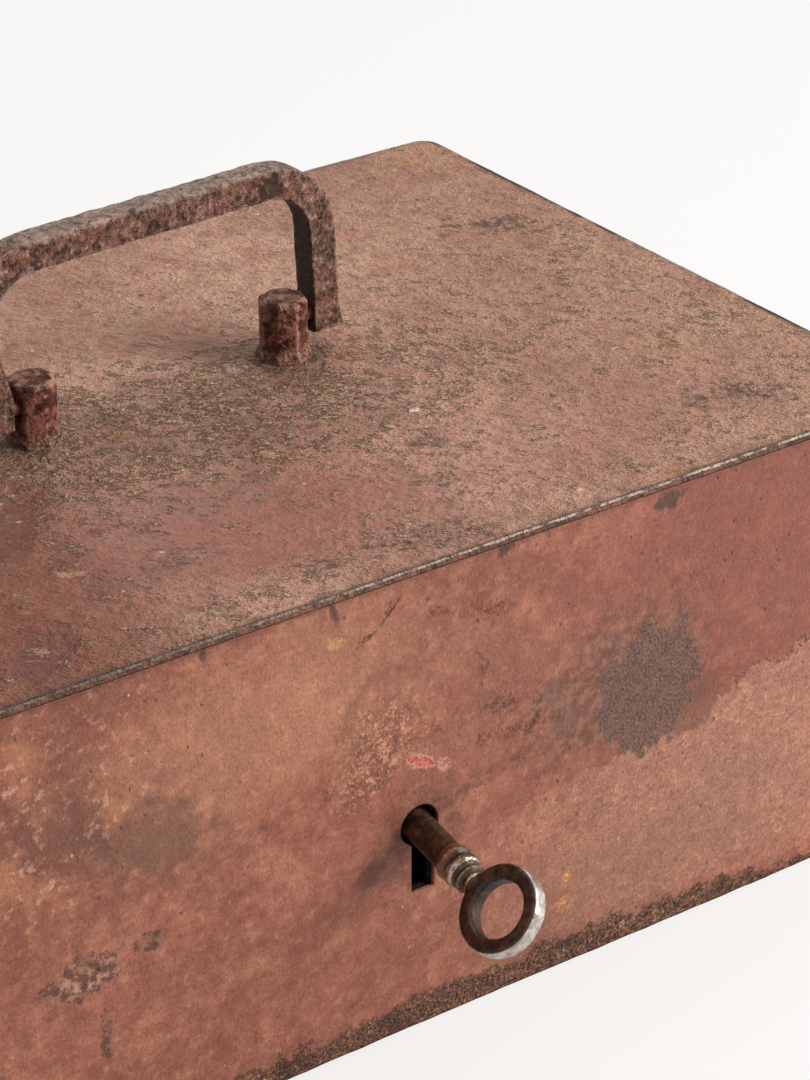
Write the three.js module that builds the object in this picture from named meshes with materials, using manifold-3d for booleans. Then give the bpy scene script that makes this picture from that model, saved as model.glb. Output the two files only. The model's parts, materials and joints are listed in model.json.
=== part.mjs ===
// Old iron strongbox: a bent sheet body, a hinged lid with a swinging handle, and a lock worked by a key.
// Millimetres, +Z up. The origin is the middle of the underside, the front faces -Y, +X is to the right.

import * as THREE from "three";
import { mergeVertices } from "three/addons/utils/BufferGeometryUtils.js";
import Module from "manifold-3d";

const wasm = await Module();
wasm.setup();

// Driving sizes of the closed box
const boxWidth = 296;
const boxDepth = 200;
const boxHeight = 120;
const cornerRadius = 5;
const wallSheet = 2;
const lidSheet = 2;
const bottomSheet = 2;

// Clearances shared by all pieces
const seatGap = 0.3; // between pieces that are fixed to each other
const runGap = 0.4; // between pieces that move past each other
const lidGap = 0.4; // seam between the wall's top edge and the lid plate
const overrun = 5; // how far a cutting tool runs past what it cuts
const leastBend = 0.2; // smallest inside radius of a bent sheet

// How many flats stand for one full turn of a round form, or for one arc of an outline
const rivetSides = 8;
const pinSides = 12;
const barrelSides = 16;
const bowSides = 24;
const cornerSteps = 5;
const bendSteps = 8;
const springSteps = 10;
const keyholeSteps = 20;

// Bottom pan and back seam
const panFlangeHeight = 12;
const panFlangeSheet = 1.6;
const seamSlit = 0.6;
const seamStrapWidth = 28;
const seamStrapSheet = 1.6;
const seamRivetRows = 6; // on the left and right of the seam by turns
const seamRivetEdge = 8;

// Rivets and screws
const rivetRadius = 1.6;
const rivetHeadRadius = 3;
const rivetHeadHeight = 1.3;
const rivetDomeShare = 0.75; // where the head's dome breaks, of its radius and of its height
const rivetTailHeight = 0.8;
const rivetBlindDepth = 1.2;
const screwRadius = 1.4;
const screwHeadRadius = 2.8;
const screwHeadHeight = 1.6;
const screwRimShare = 0.6; // of the head's height
const screwBlindDepth = 1;

// Strips under the lid that drop inside the walls
const lidRimHeight = 10;
const lidRimSheet = 2;
const lidRimInset = 1.2;
const lidRimBackGap = 37; // from the end of a side strip to the back face

// Hinges on the back
const hingeLength = 48;
const hingeOffset = 75; // from the middle of the box to the middle of a hinge
const knuckleRadius = 3.6;
const knuckleWallGap = 0.8; // between a knuckle and the back face
const middleKnuckleLength = 18;
const hingePinRadius = 1.7;
const hingePinGap = 0.3;
const hingePinHeadRadius = 2.8;
const hingePinHeadLength = 1.2;
const hingeLeafSheet = 1.6;
const backLeafHeight = 20;
const lidLeafDepth = 20;
const hingeRivetSpread = 32;
const hingeRivetEdge = 5;
const leafNotchGap = 0.6;
const lidOpenAngle = THREE.MathUtils.degToRad(105);
const stopLugReach = 5.8;
const stopLugThickness = 2;
const stopLugGap = 1.1;

// Handle and the two posts that carry it
const handleSkew = THREE.MathUtils.degToRad(3); // it was set slightly askew by hand
const handleBack = 3.6; // from the middle of the lid towards the back
const handleInnerWidth = 84.8; // between the feet of the legs
const handleBar = 8.2;
const handleBarDepth = 8;
const handleRise = 50.3;
const handleBendRadius = 11.5; // inside of the bend
const handleBendLeft = 46.8; // from the middle to the inside of the left bend
const handleBendRight = 41.4; // the same on the right, as the handle was knocked a little to the left
const handleUpright = 13; // above the lid, where the legs start to lean
const handleBevel = 0.7;
const handleLegEnd = 4.6; // above the lid
const pivotHeight = 9.5; // above the lid
const pivotPinRadius = 2.4;
const pivotPinGap = 0.4;
const pivotBoreDepth = 9;
const postSides = 8;
const postRadius = 6.1;
const postHeight = 15.5;
const postChamfer = 0.8;
const postFootRadius = 7;
const postFootEdge = 1;
const postFootHeight = 3;
const tenonRadius = 3.4;
const tenonHeadRadius = 5;
const tenonHeadHeight = 1.8;
const tenonHeadTopShare = 0.8; // of the head's radius
const backingEnd = 12; // from a post's middle to the backing plate's end
const backingDepth = 22;
const backingSheet = 2;

// Key. Lengths along it are from the point where its axis crosses the lock's own, outwards
const keyX = -0.5;
const keyPivotDepth = 7; // of that point behind the front face
const keyDroop = THREE.MathUtils.degToRad(6.8);
const keyLean = THREE.MathUtils.degToRad(-3.2);
const keyTurn = THREE.MathUtils.degToRad(41.3); // turned past the way in, clockwise seen from the front
const keyShankRadius = 3.8;
const keyTipRadius = 2.4;
const keyTipLength = 6.4;
const keyCollarOut = 21.5;
const keyCollarRadius = 4.6;
const keyCollarLength = 2.2;
const keyBeadOut = 24.7;
const keyBeadRadius = 4.55;
const keyBeadLength = 3.4;
const keyRingletOut = 27.8;
const keyRingletRadius = 3.8;
const keyRingletLength = 1.6;
const beadShoulderShare = 0.42; // of a bead's length, from its middle to where it starts to rise
const beadCrownShare = 0.2; // of a bead's length, from its middle to the edge of its crown
const keyNeckRadius = 3.1;
const keyNeckEndShare = 0.45; // of the bow's thickness
const keyBowOut = 40.3; // to the bow's centre
const keyBowRadius = 10.5;
const keyBowHole = 6.65;
const keyBowThickness = 4.5;
const keyBowChamfer = 0.7;
const bitReach = 15; // from the key's axis to the bit's end
const bitThickness = 3.4;
const bitLength = 9.4;
const bitPlateGap = 2.1; // between the bit and the lock plate

// Keyhole. It was cut by hand, so its round part and its slot each lie a little off the key's axis
const keyholeGap = 1.3; // round the shank
const keyholeSag = 0.5; // of the round part's centre under the axis
const keyholeShift = -0.2; // of that centre to the right of the axis
const keyholeSlotGap = 1.4; // on each side of the bit
const keyholeSlotShift = 0.75; // of the slot's middle to the right of the axis
const keyholeSlotEnd = 3; // under the bit

// Ring ward on the lock plate, and the notch for it in the bit
const wardInner = 7.4;
const wardSheet = 1.2;
const wardDepth = 3;
const wardOpening = THREE.MathUtils.degToRad(30);
const wardNotchGap = 0.7;
const wardNotchEnd = 1.8; // how much deeper the notch is

// Lock case behind the front, from the lid downwards
const lockDrop = 21; // from the lid's underside to the lock's top
const boltDrop = 9; // from the lock's top to the bolt
const boltHeight = 8;
const keyDrop = 25; // from the bolt to the key's axis
const lockUnderKeyhole = 4;
const lockPlateMargin = 4;
const lockPlateSheet = 1.5;
const lockWallSheet = 1.5;
const lockCapSheet = 1.5;
const lockScrewInset = 4.6;
const lockCapBoreGap = 2.4; // the loose key tilts in its bore
const bitCapGap = 3.5; // between the bit and the cap

// Bolt with its talon, its guides and its spring
const boltThickness = 3.5;
const boltDepth = 6.7; // from the lock plate to the bolt's front face
const boltTail = 10.5; // past the guide on the left
const boltEndGap = 4.5; // between the bolt's tail and the lock's wall
const boltLegWidth = 8;
const talonGap = 1; // between the bit and each face of the talon
const talonHeight = 8.2;
const talonFloor = 2.6;
const talonFloorGap = 0.2; // under the bit
const talonLeftWidth = 11.3;
const talonHornHeight = 3.9;
const talonHornWidth = 4;
const talonExtra = 1.3; // how much thicker than the bar the talon is, on each face
const guideLength = 3;
const guideWeb = 2;
const guideLegGap = 4.5; // room for the bolt to travel on when the key is turned past its rest
const guideTongueGap = 3;
const guideWallGap = 0.5;
const springLength = 16;
const springSheet = 0.9;

// Staple under the lid that drops into the lock
const tongueOut = 10.5; // from the key's axis to the tongue
const tongueWidth = 4;
const tongueWeb = 1.8;
const tongueEyeGap = 0.5;
const tongueBoltGap = 1.5; // between the tongue and the bolt that is drawn back
const tongueEnd = 2.5; // under the eye
const tongueSlotGap = 0.6;
const staplePlateWidth = 22;
const staplePlateDepth = 24;
const staplePlateSheet = 1.6;
const stapleRivetInset = 4.5;

// Planes that the pieces share
const frontFace = -boxDepth / 2;
const backFace = boxDepth / 2;
const wallTop = boxHeight - lidSheet - lidGap;
const lidUnder = boxHeight - lidSheet;
const hingeAxisOut = knuckleRadius + knuckleWallGap;
const hingeAxisY = backFace + hingeAxisOut;
const hingeAxisZ = lidUnder - seatGap - knuckleRadius;
const lockPlateFront = frontFace + wallSheet + seatGap;
const lockPlateBack = lockPlateFront + lockPlateSheet;
const keyPivotY = frontFace + keyPivotDepth;
const bitFront = lockPlateBack + bitPlateGap - keyPivotY; // inwards from the pivot point
const bitBack = bitFront + bitLength;
const lockCapFront = keyPivotY + bitBack + bitCapGap;
const lockCapBack = lockCapFront + lockCapSheet;
const boltFront = lockPlateBack + boltDepth;
const boltBack = boltFront + boltThickness;
const lockTop = lidUnder - lockDrop;
const boltTop = lockTop - boltDrop;
const boltBottom = boltTop - boltHeight;
const keyHeight = boltBottom - keyDrop;
const keyholeRadius = keyShankRadius + keyholeGap;
const keyholeSlotDrop = bitReach + keyholeSlotEnd;
const lockBottom = keyHeight - keyholeSlotDrop - lockUnderKeyhole;

// How far the bit's left corner lies to the left of the key's axis when it is turned by an angle
const bitCorner = (angle) => bitReach * Math.sin(angle) + (bitThickness / 2) * Math.cos(angle);

// Places along the bolt, from the key and the tongue outwards
const talonLeftFace = keyX - bitCorner(keyTurn) - talonGap;
const boltLegLeft = talonLeftFace - talonLeftWidth;
const leftGuide = boltLegLeft - guideLegGap - guideLength;
const boltLeft = leftGuide - boltTail;
const lockLeft = boltLeft - boltEndGap - lockWallSheet;
const tongueLeft = keyX + tongueOut;
const tongueRight = tongueLeft + tongueWidth;
const boltRight = tongueLeft - tongueBoltGap;
const middleGuide = tongueLeft - guideTongueGap - guideLength;
const rightGuide = tongueRight + guideTongueGap;
const lockRight = rightGuide + guideLength + guideWallGap + lockWallSheet;
const lockPlateX = [lockLeft - lockPlateMargin, lockRight + lockPlateMargin];
const lockPlateZ = [lockBottom - lockPlateMargin, lockTop + lockPlateMargin];

// Materials
const paint = (color, roughness, metalness) => {
  return new THREE.MeshStandardMaterial({ color, roughness, metalness });
};
const bodyPaint = paint(0x9c6250, 0.6, 0.1);
const lidPaint = paint(0x8f6656, 0.65, 0.1);
const forgedIron = paint(0x5a3f36, 0.8, 0.4);
const postIron = paint(0x5f342c, 0.7, 0.4);
const innerIron = paint(0x6b5a50, 0.7, 0.5);
const rivetIron = paint(0x7a5648, 0.65, 0.4);
const lockIron = paint(0x5e564f, 0.5, 0.7);
const boltSteel = paint(0x7d7a76, 0.4, 0.9);
const springSteel = paint(0x55565c, 0.35, 0.9);
const keyIron = paint(0x6a4b3c, 0.45, 0.8);

// Joining and cutting
function solidOf(geometry) {
  const bare = geometry.clone();
  bare.deleteAttribute("normal");
  bare.deleteAttribute("uv");
  const merged = mergeVertices(bare);
  const mesh = new wasm.Mesh({
    numProp: 3,
    vertProperties: new Float32Array(merged.attributes.position.array),
    triVerts: new Uint32Array(merged.index.array),
  });
  return new wasm.Manifold(mesh);
}

function geometryOf(solid) {
  const mesh = solid.getMesh();
  const geometry = new THREE.BufferGeometry();
  geometry.setAttribute("position", new THREE.BufferAttribute(mesh.vertProperties, mesh.numProp));
  geometry.setIndex(new THREE.BufferAttribute(mesh.triVerts, 1));
  geometry.computeVertexNormals();
  return geometry;
}

function fuse(...geometries) {
  return geometryOf(geometries.map(solidOf).reduce((whole, next) => whole.add(next)));
}

function cut(geometry, ...tools) {
  return geometryOf(tools.map(solidOf).reduce((whole, tool) => whole.subtract(tool), solidOf(geometry)));
}

// Simple bodies given by their ends along each axis
function block([x0, x1], [y0, y1], [z0, z1]) {
  const geometry = new THREE.BoxGeometry(x1 - x0, y1 - y0, z1 - z0);
  return geometry.translate((x0 + x1) / 2, (y0 + y1) / 2, (z0 + z1) / 2);
}

function rodAlongX(radius, [x0, x1], y, z, sides) {
  const geometry = new THREE.CylinderGeometry(radius, radius, x1 - x0, sides);
  return geometry.rotateZ(-Math.PI / 2).translate((x0 + x1) / 2, y, z);
}

function rodAlongY(radius, [y0, y1], x, z, sides) {
  const geometry = new THREE.CylinderGeometry(radius, radius, y1 - y0, sides);
  return geometry.translate(x, (y0 + y1) / 2, z);
}

function rodAlongZ(radius, [z0, z1], x, y, sides) {
  const geometry = new THREE.CylinderGeometry(radius, radius, z1 - z0, sides);
  return geometry.rotateX(Math.PI / 2).translate(x, y, (z0 + z1) / 2);
}

function roundedRectangle(width, depth, radius) {
  const x = width / 2 - radius;
  const y = depth / 2 - radius;
  const shape = new THREE.Shape();
  shape.absarc(x, -y, radius, -Math.PI / 2, 0, false);
  shape.absarc(x, y, radius, 0, Math.PI / 2, false);
  shape.absarc(-x, y, radius, Math.PI / 2, Math.PI, false);
  shape.absarc(-x, -y, radius, Math.PI, Math.PI * 1.5, false);
  return shape;
}

function polygon(points) {
  return new THREE.Shape(points.map(([u, v]) => new THREE.Vector2(u, v)));
}

function rectangle([u0, u1], [v0, v1]) {
  return polygon([[u0, v0], [u1, v0], [u1, v1], [u0, v1]]);
}

function extrude(shape, depth, curveSegments) {
  return new THREE.ExtrudeGeometry(shape, { depth, curveSegments, bevelEnabled: false });
}

function extrudeUp(shape, [z0, z1], curveSegments = cornerSteps) {
  return extrude(shape, z1 - z0, curveSegments).translate(0, 0, z0);
}

// The shape's own x and y become X and Z, and it is as deep as the two ends along Y
function extrudeBack(shape, [y0, y1], curveSegments) {
  return extrude(shape, y1 - y0, curveSegments).rotateX(Math.PI / 2).translate(0, y1, 0);
}

// The shape's own x and y become Y and Z, and it is as long as the two ends along X
function extrudeSideways(shape, [x0, x1]) {
  const axes = new THREE.Matrix4().makeBasis(
    new THREE.Vector3(0, 1, 0),
    new THREE.Vector3(0, 0, 1),
    new THREE.Vector3(1, 0, 0),
  );
  return extrude(shape, x1 - x0).applyMatrix4(axes).translate(x0, 0, 0);
}

// A turned body about Z from [radius, height] pairs that start and end on the axis
function turned(profile, sides) {
  const points = profile.map(([radius, height]) => new THREE.Vector2(radius, height));
  return new THREE.LatheGeometry(points, sides).rotateX(Math.PI / 2);
}

// A rivet along Z: a domed head above zero, a shank below it, and a smaller tail at its end if it has one
function rivet(grip, tailHeight) {
  const tail = tailHeight > 0;
  const tailRadius = (rivetHeadRadius + rivetRadius) / 2;
  const end = -grip - tailHeight;
  const profile = [[0, end]];
  if (tail) {
    profile.push([tailRadius, end], [tailRadius, -grip]);
  }
  profile.push([rivetRadius, tail ? -grip : end], [rivetRadius, 0], [rivetHeadRadius, 0]);
  profile.push([rivetHeadRadius * rivetDomeShare, rivetHeadHeight * rivetDomeShare], [0, rivetHeadHeight]);
  return turned(profile, rivetSides);
}

const strongbox = new THREE.Group();

function addPiece(name, geometry, material, parent = strongbox) {
  const mesh = new THREE.Mesh(geometry, material);
  mesh.name = name;
  parent.add(mesh);
  return mesh;
}

function addFasteners(name, places, makeOne) {
  for (const [index, place] of places.entries()) {
    addPiece(`${name}_${index + 1}`, makeOne(place), rivetIron);
  }
}

// Places that several pieces share
const sides = { left: -1, right: 1 };
const backRivetPlaces = [];
const lidRivetPlaces = [];
for (const side of Object.values(sides)) {
  const middle = side * hingeOffset;
  const top = hingeAxisZ - knuckleRadius - hingeRivetEdge;
  const lidLeafFront = backFace - wallSheet - leafNotchGap - lidLeafDepth;
  for (const across of [-hingeRivetSpread / 2, hingeRivetSpread / 2]) {
    backRivetPlaces.push([middle + across, top]);
    lidRivetPlaces.push([middle + across, lidLeafFront + hingeRivetEdge]);
  }
}

const strapBottom = bottomSheet + panFlangeHeight + seatGap;
const strapTop = wallTop - lidRimHeight;
const seamRivetPlaces = [];
for (let row = 0; row < seamRivetRows; row += 1) {
  const share = row / (seamRivetRows - 1);
  const z = THREE.MathUtils.lerp(strapBottom + seamRivetEdge, strapTop - seamRivetEdge, share);
  const side = row % 2 ? 1 : -1;
  seamRivetPlaces.push([(side * seamStrapWidth) / 4, z]);
}

const rivetHoleRadius = rivetRadius + seatGap;
const insideRadius = Math.max(cornerRadius - wallSheet, leastBend);

function keyholeTool(ends) {
  const half = bitThickness / 2 + keyholeSlotGap;
  const left = keyholeSlotShift - half;
  const right = keyholeSlotShift + half;
  const leftJoin = -Math.PI / 2 + Math.asin((left - keyholeShift) / keyholeRadius);
  const rightJoin = -Math.PI / 2 + Math.asin((right - keyholeShift) / keyholeRadius);
  const shape = new THREE.Shape();
  shape.moveTo(left, -keyholeSlotDrop);
  shape.lineTo(left, -keyholeSag + keyholeRadius * Math.sin(leftJoin));
  shape.absarc(keyholeShift, -keyholeSag, keyholeRadius, leftJoin, rightJoin, true);
  shape.lineTo(right, -keyholeSlotDrop);
  return extrudeBack(shape, ends, keyholeSteps).translate(keyX, 0, keyHeight);
}

// The wall is one sheet bent round four corners, with its seam up the middle of the back
function makeBodyWall() {
  const outline = roundedRectangle(boxWidth, boxDepth, cornerRadius);
  outline.holes.push(roundedRectangle(boxWidth - 2 * wallSheet, boxDepth - 2 * wallSheet, insideRadius));
  const band = extrudeUp(outline, [0, wallTop]);
  const through = [backFace - wallSheet - overrun, backFace + overrun];
  const tools = [
    keyholeTool([frontFace - overrun, frontFace + wallSheet + overrun]),
    block([-seamSlit / 2, seamSlit / 2], through, [-overrun, wallTop + overrun]),
  ];
  const notchHalf = middleKnuckleLength / 2 + leafNotchGap;
  const notchBottom = hingeAxisZ + knuckleRadius - hingeLeafSheet - leafNotchGap;
  for (const side of Object.values(sides)) {
    const middle = side * hingeOffset;
    tools.push(block([middle - notchHalf, middle + notchHalf], through, [notchBottom, wallTop + overrun]));
  }
  for (const [x, z] of [...backRivetPlaces, ...seamRivetPlaces]) {
    tools.push(rodAlongY(rivetHoleRadius, through, x, z, rivetSides));
  }
  return cut(band, ...tools);
}

function makeBottomPan() {
  const shrink = 2 * (wallSheet + seatGap);
  const radius = Math.max(insideRadius - seatGap, leastBend);
  const flangeRadius = Math.max(radius - panFlangeSheet, leastBend);
  const width = boxWidth - shrink;
  const depth = boxDepth - shrink;
  const plate = extrudeUp(roundedRectangle(width, depth, radius), [0, bottomSheet]);
  const ring = roundedRectangle(width, depth, radius);
  const inside = roundedRectangle(width - 2 * panFlangeSheet, depth - 2 * panFlangeSheet, flangeRadius);
  ring.holes.push(inside);
  const pan = fuse(plate, extrudeUp(ring, [bottomSheet / 2, bottomSheet + panFlangeHeight]));
  // In a low box the flange is notched where the lock plate comes down to it
  const notch = block(
    [lockPlateX[0] - seatGap, lockPlateX[1] + seatGap],
    [frontFace, lockPlateBack + seatGap],
    [lockPlateZ[0] - seatGap, lockPlateZ[1]],
  );
  return cut(pan, notch);
}

function addBody() {
  addPiece("body_wall", makeBodyWall(), bodyPaint);
  addPiece("bottom_pan", makeBottomPan(), innerIron);
  const strapBack = backFace - wallSheet - seatGap;
  const strapFront = strapBack - seamStrapSheet;
  const half = seamStrapWidth / 2;
  const strap = block([-half, half], [strapFront, strapBack], [strapBottom, strapTop]);
  const holes = seamRivetPlaces.map(([x, z]) => {
    return rodAlongY(rivetHoleRadius, [strapFront - overrun, strapBack + overrun], x, z, rivetSides);
  });
  addPiece("seam_strap", cut(strap, ...holes), innerIron);
  const grip = wallSheet + seatGap + seamStrapSheet + 2 * seatGap;
  addFasteners("seam_rivet", seamRivetPlaces, ([x, z]) => {
    return rivet(grip, rivetTailHeight).rotateX(-Math.PI / 2).translate(x, backFace + seatGap, z);
  });
}

// Hinges. Each is drawn about its own pin, which lies along X
function makeBackLeaf() {
  const front = -hingeAxisOut + seatGap;
  const half = hingeLength / 2;
  const plate = block([-half, half], [front, front + hingeLeafSheet], [-backLeafHeight, 0]);
  const barrel = rodAlongX(knuckleRadius, [-half, half], 0, 0, barrelSides);
  const middle = middleKnuckleLength / 2 + runGap;
  const window = block(
    [-middle, middle],
    [front - overrun, knuckleRadius + overrun],
    [-stopLugReach - runGap, knuckleRadius + overrun],
  );
  const bore = rodAlongX(hingePinRadius + hingePinGap, [-half - overrun, half + overrun], 0, 0, pinSides);
  const holes = [-hingeRivetSpread / 2, hingeRivetSpread / 2].map((x) => {
    const z = -knuckleRadius - hingeRivetEdge;
    return rodAlongY(rivetHoleRadius, [front - overrun, front + overrun], x, z, rivetSides);
  });
  return cut(fuse(plate, barrel), window, bore, ...holes);
}

// A lug on the lid's knuckle that meets the back face when the lid is wide open
function makeStopLug() {
  const contact = Math.acos((hingeAxisOut - stopLugGap) / stopLugReach);
  const half = middleKnuckleLength / 2;
  const lug = block([-half, half], [0, stopLugReach], [-stopLugThickness / 2, stopLugThickness / 2]);
  return lug.rotateX(Math.PI + contact + lidOpenAngle);
}

function makeLidLeaf() {
  const half = hingeLength / 2;
  const tab = middleKnuckleLength / 2;
  const top = knuckleRadius;
  const under = knuckleRadius - hingeLeafSheet;
  const inside = -hingeAxisOut - wallSheet - leafNotchGap;
  const plate = block([-half, half], [inside - lidLeafDepth, inside], [under, top]);
  const neck = block([-tab, tab], [inside - hingeRivetEdge, 0], [under, top]);
  const knuckle = rodAlongX(knuckleRadius, [-tab, tab], 0, 0, barrelSides);
  const bore = rodAlongX(hingePinRadius + hingePinGap, [-tab - overrun, tab + overrun], 0, 0, pinSides);
  const holes = [-hingeRivetSpread / 2, hingeRivetSpread / 2].map((x) => {
    const y = inside - lidLeafDepth + hingeRivetEdge;
    return rodAlongZ(rivetHoleRadius, [under - overrun, top + overrun], x, y, rivetSides);
  });
  return cut(fuse(plate, neck, knuckle, makeStopLug()), bore, ...holes);
}

function makeHingePin() {
  const end = hingeLength / 2 + seatGap;
  const profile = [
    [0, -end - hingePinHeadLength],
    [hingePinHeadRadius, -end - hingePinHeadLength],
    [hingePinHeadRadius, -end],
    [hingePinRadius, -end],
    [hingePinRadius, end],
    [hingePinHeadRadius, end],
    [hingePinHeadRadius, end + hingePinHeadLength],
    [0, end + hingePinHeadLength],
  ];
  return turned(profile, pinSides).rotateY(Math.PI / 2);
}

function addHinges() {
  for (const [name, side] of Object.entries(sides)) {
    const hinge = new THREE.Group();
    hinge.position.set(side * hingeOffset, hingeAxisY, hingeAxisZ);
    addPiece(`hinge_back_leaf_${name}`, makeBackLeaf(), innerIron, hinge);
    addPiece(`hinge_lid_leaf_${name}`, makeLidLeaf(), innerIron, hinge);
    addPiece(`hinge_pin_${name}`, makeHingePin(), rivetIron, hinge);
    strongbox.add(hinge);
  }
  const leafBack = backFace + seatGap + hingeLeafSheet;
  const backGrip = leafBack + seatGap - (backFace - wallSheet - seatGap);
  addFasteners("hinge_back_rivet", backRivetPlaces, ([x, z]) => {
    return rivet(backGrip, rivetTailHeight).rotateX(-Math.PI / 2).translate(x, leafBack + seatGap, z);
  });
  const leafUnder = lidUnder - seatGap - hingeLeafSheet;
  const lidGrip = hingeLeafSheet + seatGap + rivetBlindDepth;
  addFasteners("hinge_lid_rivet", lidRivetPlaces, ([x, y]) => {
    return rivet(lidGrip, 0).rotateX(Math.PI).translate(x, y, leafUnder - seatGap);
  });
}

// Staple: a plate under the lid with a tongue whose eye takes the bolt
const eyeFront = boltFront - tongueEyeGap;
const eyeBack = boltBack + tongueEyeGap;
const tongueFront = eyeFront - tongueWeb;
const tongueBack = eyeBack + tongueWeb;
const tongueBottom = boltBottom - tongueEyeGap - tongueEnd;
const stapleMiddle = (tongueLeft + tongueRight) / 2;
const stapleX = [stapleMiddle - staplePlateWidth / 2, stapleMiddle + staplePlateWidth / 2];
const stapleY = [tongueFront, tongueFront + staplePlateDepth];
const stapleRivetPlaces = [
  [stapleX[0] + stapleRivetInset, stapleY[1] - stapleRivetInset],
  [stapleX[1] - stapleRivetInset, stapleY[1] - stapleRivetInset],
];

function addStaple() {
  const top = lidUnder - seatGap;
  const under = top - staplePlateSheet;
  const plate = block(stapleX, stapleY, [under, top]);
  const tongue = block([tongueLeft, tongueRight], [tongueFront, tongueBack], [tongueBottom, top]);
  const eye = block(
    [tongueLeft - overrun, tongueRight + overrun],
    [eyeFront, eyeBack],
    [boltBottom - tongueEyeGap, boltTop + tongueEyeGap],
  );
  const holes = stapleRivetPlaces.map(([x, y]) => {
    return rodAlongZ(rivetHoleRadius, [under - overrun, top + overrun], x, y, rivetSides);
  });
  addPiece("lid_staple", cut(fuse(plate, tongue), eye, ...holes), boltSteel);
  const grip = staplePlateSheet + seatGap + rivetBlindDepth;
  addFasteners("staple_rivet", stapleRivetPlaces, ([x, y]) => {
    return rivet(grip, 0).rotateX(Math.PI).translate(x, y, under - seatGap);
  });
}

// Handle, drawn about the middle of its foot line on the lid, in its own slightly turned frame
const handleFrame = new THREE.Group();
handleFrame.position.set(0, handleBack, boxHeight);
handleFrame.rotation.z = handleSkew;
handleFrame.updateMatrix();
const legInner = handleInnerWidth / 2;
const legOuter = legInner + handleBar;
const postX = legInner - runGap - postRadius;

function makeBail() {
  const outerBend = handleBendRadius + handleBar;
  const bendZ = handleRise - outerBend;
  const leftX = handleBendRadius - handleBendLeft;
  const rightX = handleBendRight - handleBendRadius;
  const lean = (reach) => Math.atan2(reach - legInner, bendZ - handleUpright);
  const up = Math.PI / 2;
  const left = Math.PI + lean(handleBendLeft);
  const right = -lean(handleBendRight);
  const shape = new THREE.Shape();
  shape.moveTo(-legOuter, handleLegEnd);
  shape.lineTo(-legOuter, handleUpright);
  shape.absarc(leftX, bendZ, outerBend, left, up, true);
  shape.absarc(rightX, bendZ, outerBend, up, right, true);
  shape.lineTo(legOuter, handleUpright);
  shape.lineTo(legOuter, handleLegEnd);
  shape.lineTo(legInner, handleLegEnd);
  shape.lineTo(legInner, handleUpright);
  shape.absarc(rightX, bendZ, handleBendRadius, right, up, false);
  shape.absarc(leftX, bendZ, handleBendRadius, up, left, false);
  shape.lineTo(-legInner, handleUpright);
  shape.lineTo(-legInner, handleLegEnd);
  const bar = new THREE.ExtrudeGeometry(shape, {
    depth: handleBarDepth - 2 * handleBevel,
    curveSegments: bendSteps,
    bevelThickness: handleBevel,
    bevelSize: handleBevel,
    bevelOffset: -handleBevel,
    bevelSegments: 1,
  });
  bar.rotateX(Math.PI / 2).translate(0, handleBarDepth / 2 - handleBevel, 0);
  const through = [-legOuter - overrun, legOuter + overrun];
  const bore = rodAlongX(pivotPinRadius + seatGap, through, 0, pivotHeight, pinSides);
  return cut(bar, bore);
}

function makePost(side) {
  const floor = -lidSheet - seatGap - backingSheet - seatGap;
  const profile = [
    [0, floor - tenonHeadHeight],
    [tenonHeadRadius * tenonHeadTopShare, floor - tenonHeadHeight],
    [tenonHeadRadius, floor],
    [tenonRadius, floor],
    [tenonRadius, seatGap],
    [postFootRadius, seatGap],
    [postFootRadius, postFootEdge],
    [postRadius, postFootHeight],
    [postRadius, postHeight - postChamfer],
    [postRadius - postChamfer, postHeight],
    [0, postHeight],
  ];
  const post = turned(profile, postSides);
  const deep = postRadius - pivotBoreDepth;
  const boreEnds = [deep, postRadius + overrun].map((x) => side * x).sort((a, b) => a - b);
  return cut(post, rodAlongX(pivotPinRadius + pivotPinGap, boreEnds, 0, pivotHeight, pinSides));
}

function addHandle() {
  addPiece("handle_bail", makeBail(), forgedIron, handleFrame);
  const top = -lidSheet - seatGap;
  const end = postX + backingEnd;
  const plate = block([-end, end], [-backingDepth / 2, backingDepth / 2], [top - backingSheet, top]);
  const holes = Object.values(sides).map((side) => {
    return rodAlongZ(tenonRadius + seatGap, [top - overrun, top + overrun], side * postX, 0, pinSides);
  });
  addPiece("handle_backing_plate", cut(plate, ...holes), innerIron, handleFrame);
  for (const [name, side] of Object.entries(sides)) {
    addPiece(`handle_post_${name}`, makePost(side), postIron, handleFrame).position.x = side * postX;
    const inner = postX + postRadius - pivotBoreDepth + seatGap;
    const ends = [side * inner, side * (legOuter - seatGap)].sort((a, b) => a - b);
    const pin = rodAlongX(pivotPinRadius, ends, 0, pivotHeight, pinSides);
    addPiece(`handle_pin_${name}`, pin, rivetIron, handleFrame);
  }
  strongbox.add(handleFrame);
}

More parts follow.
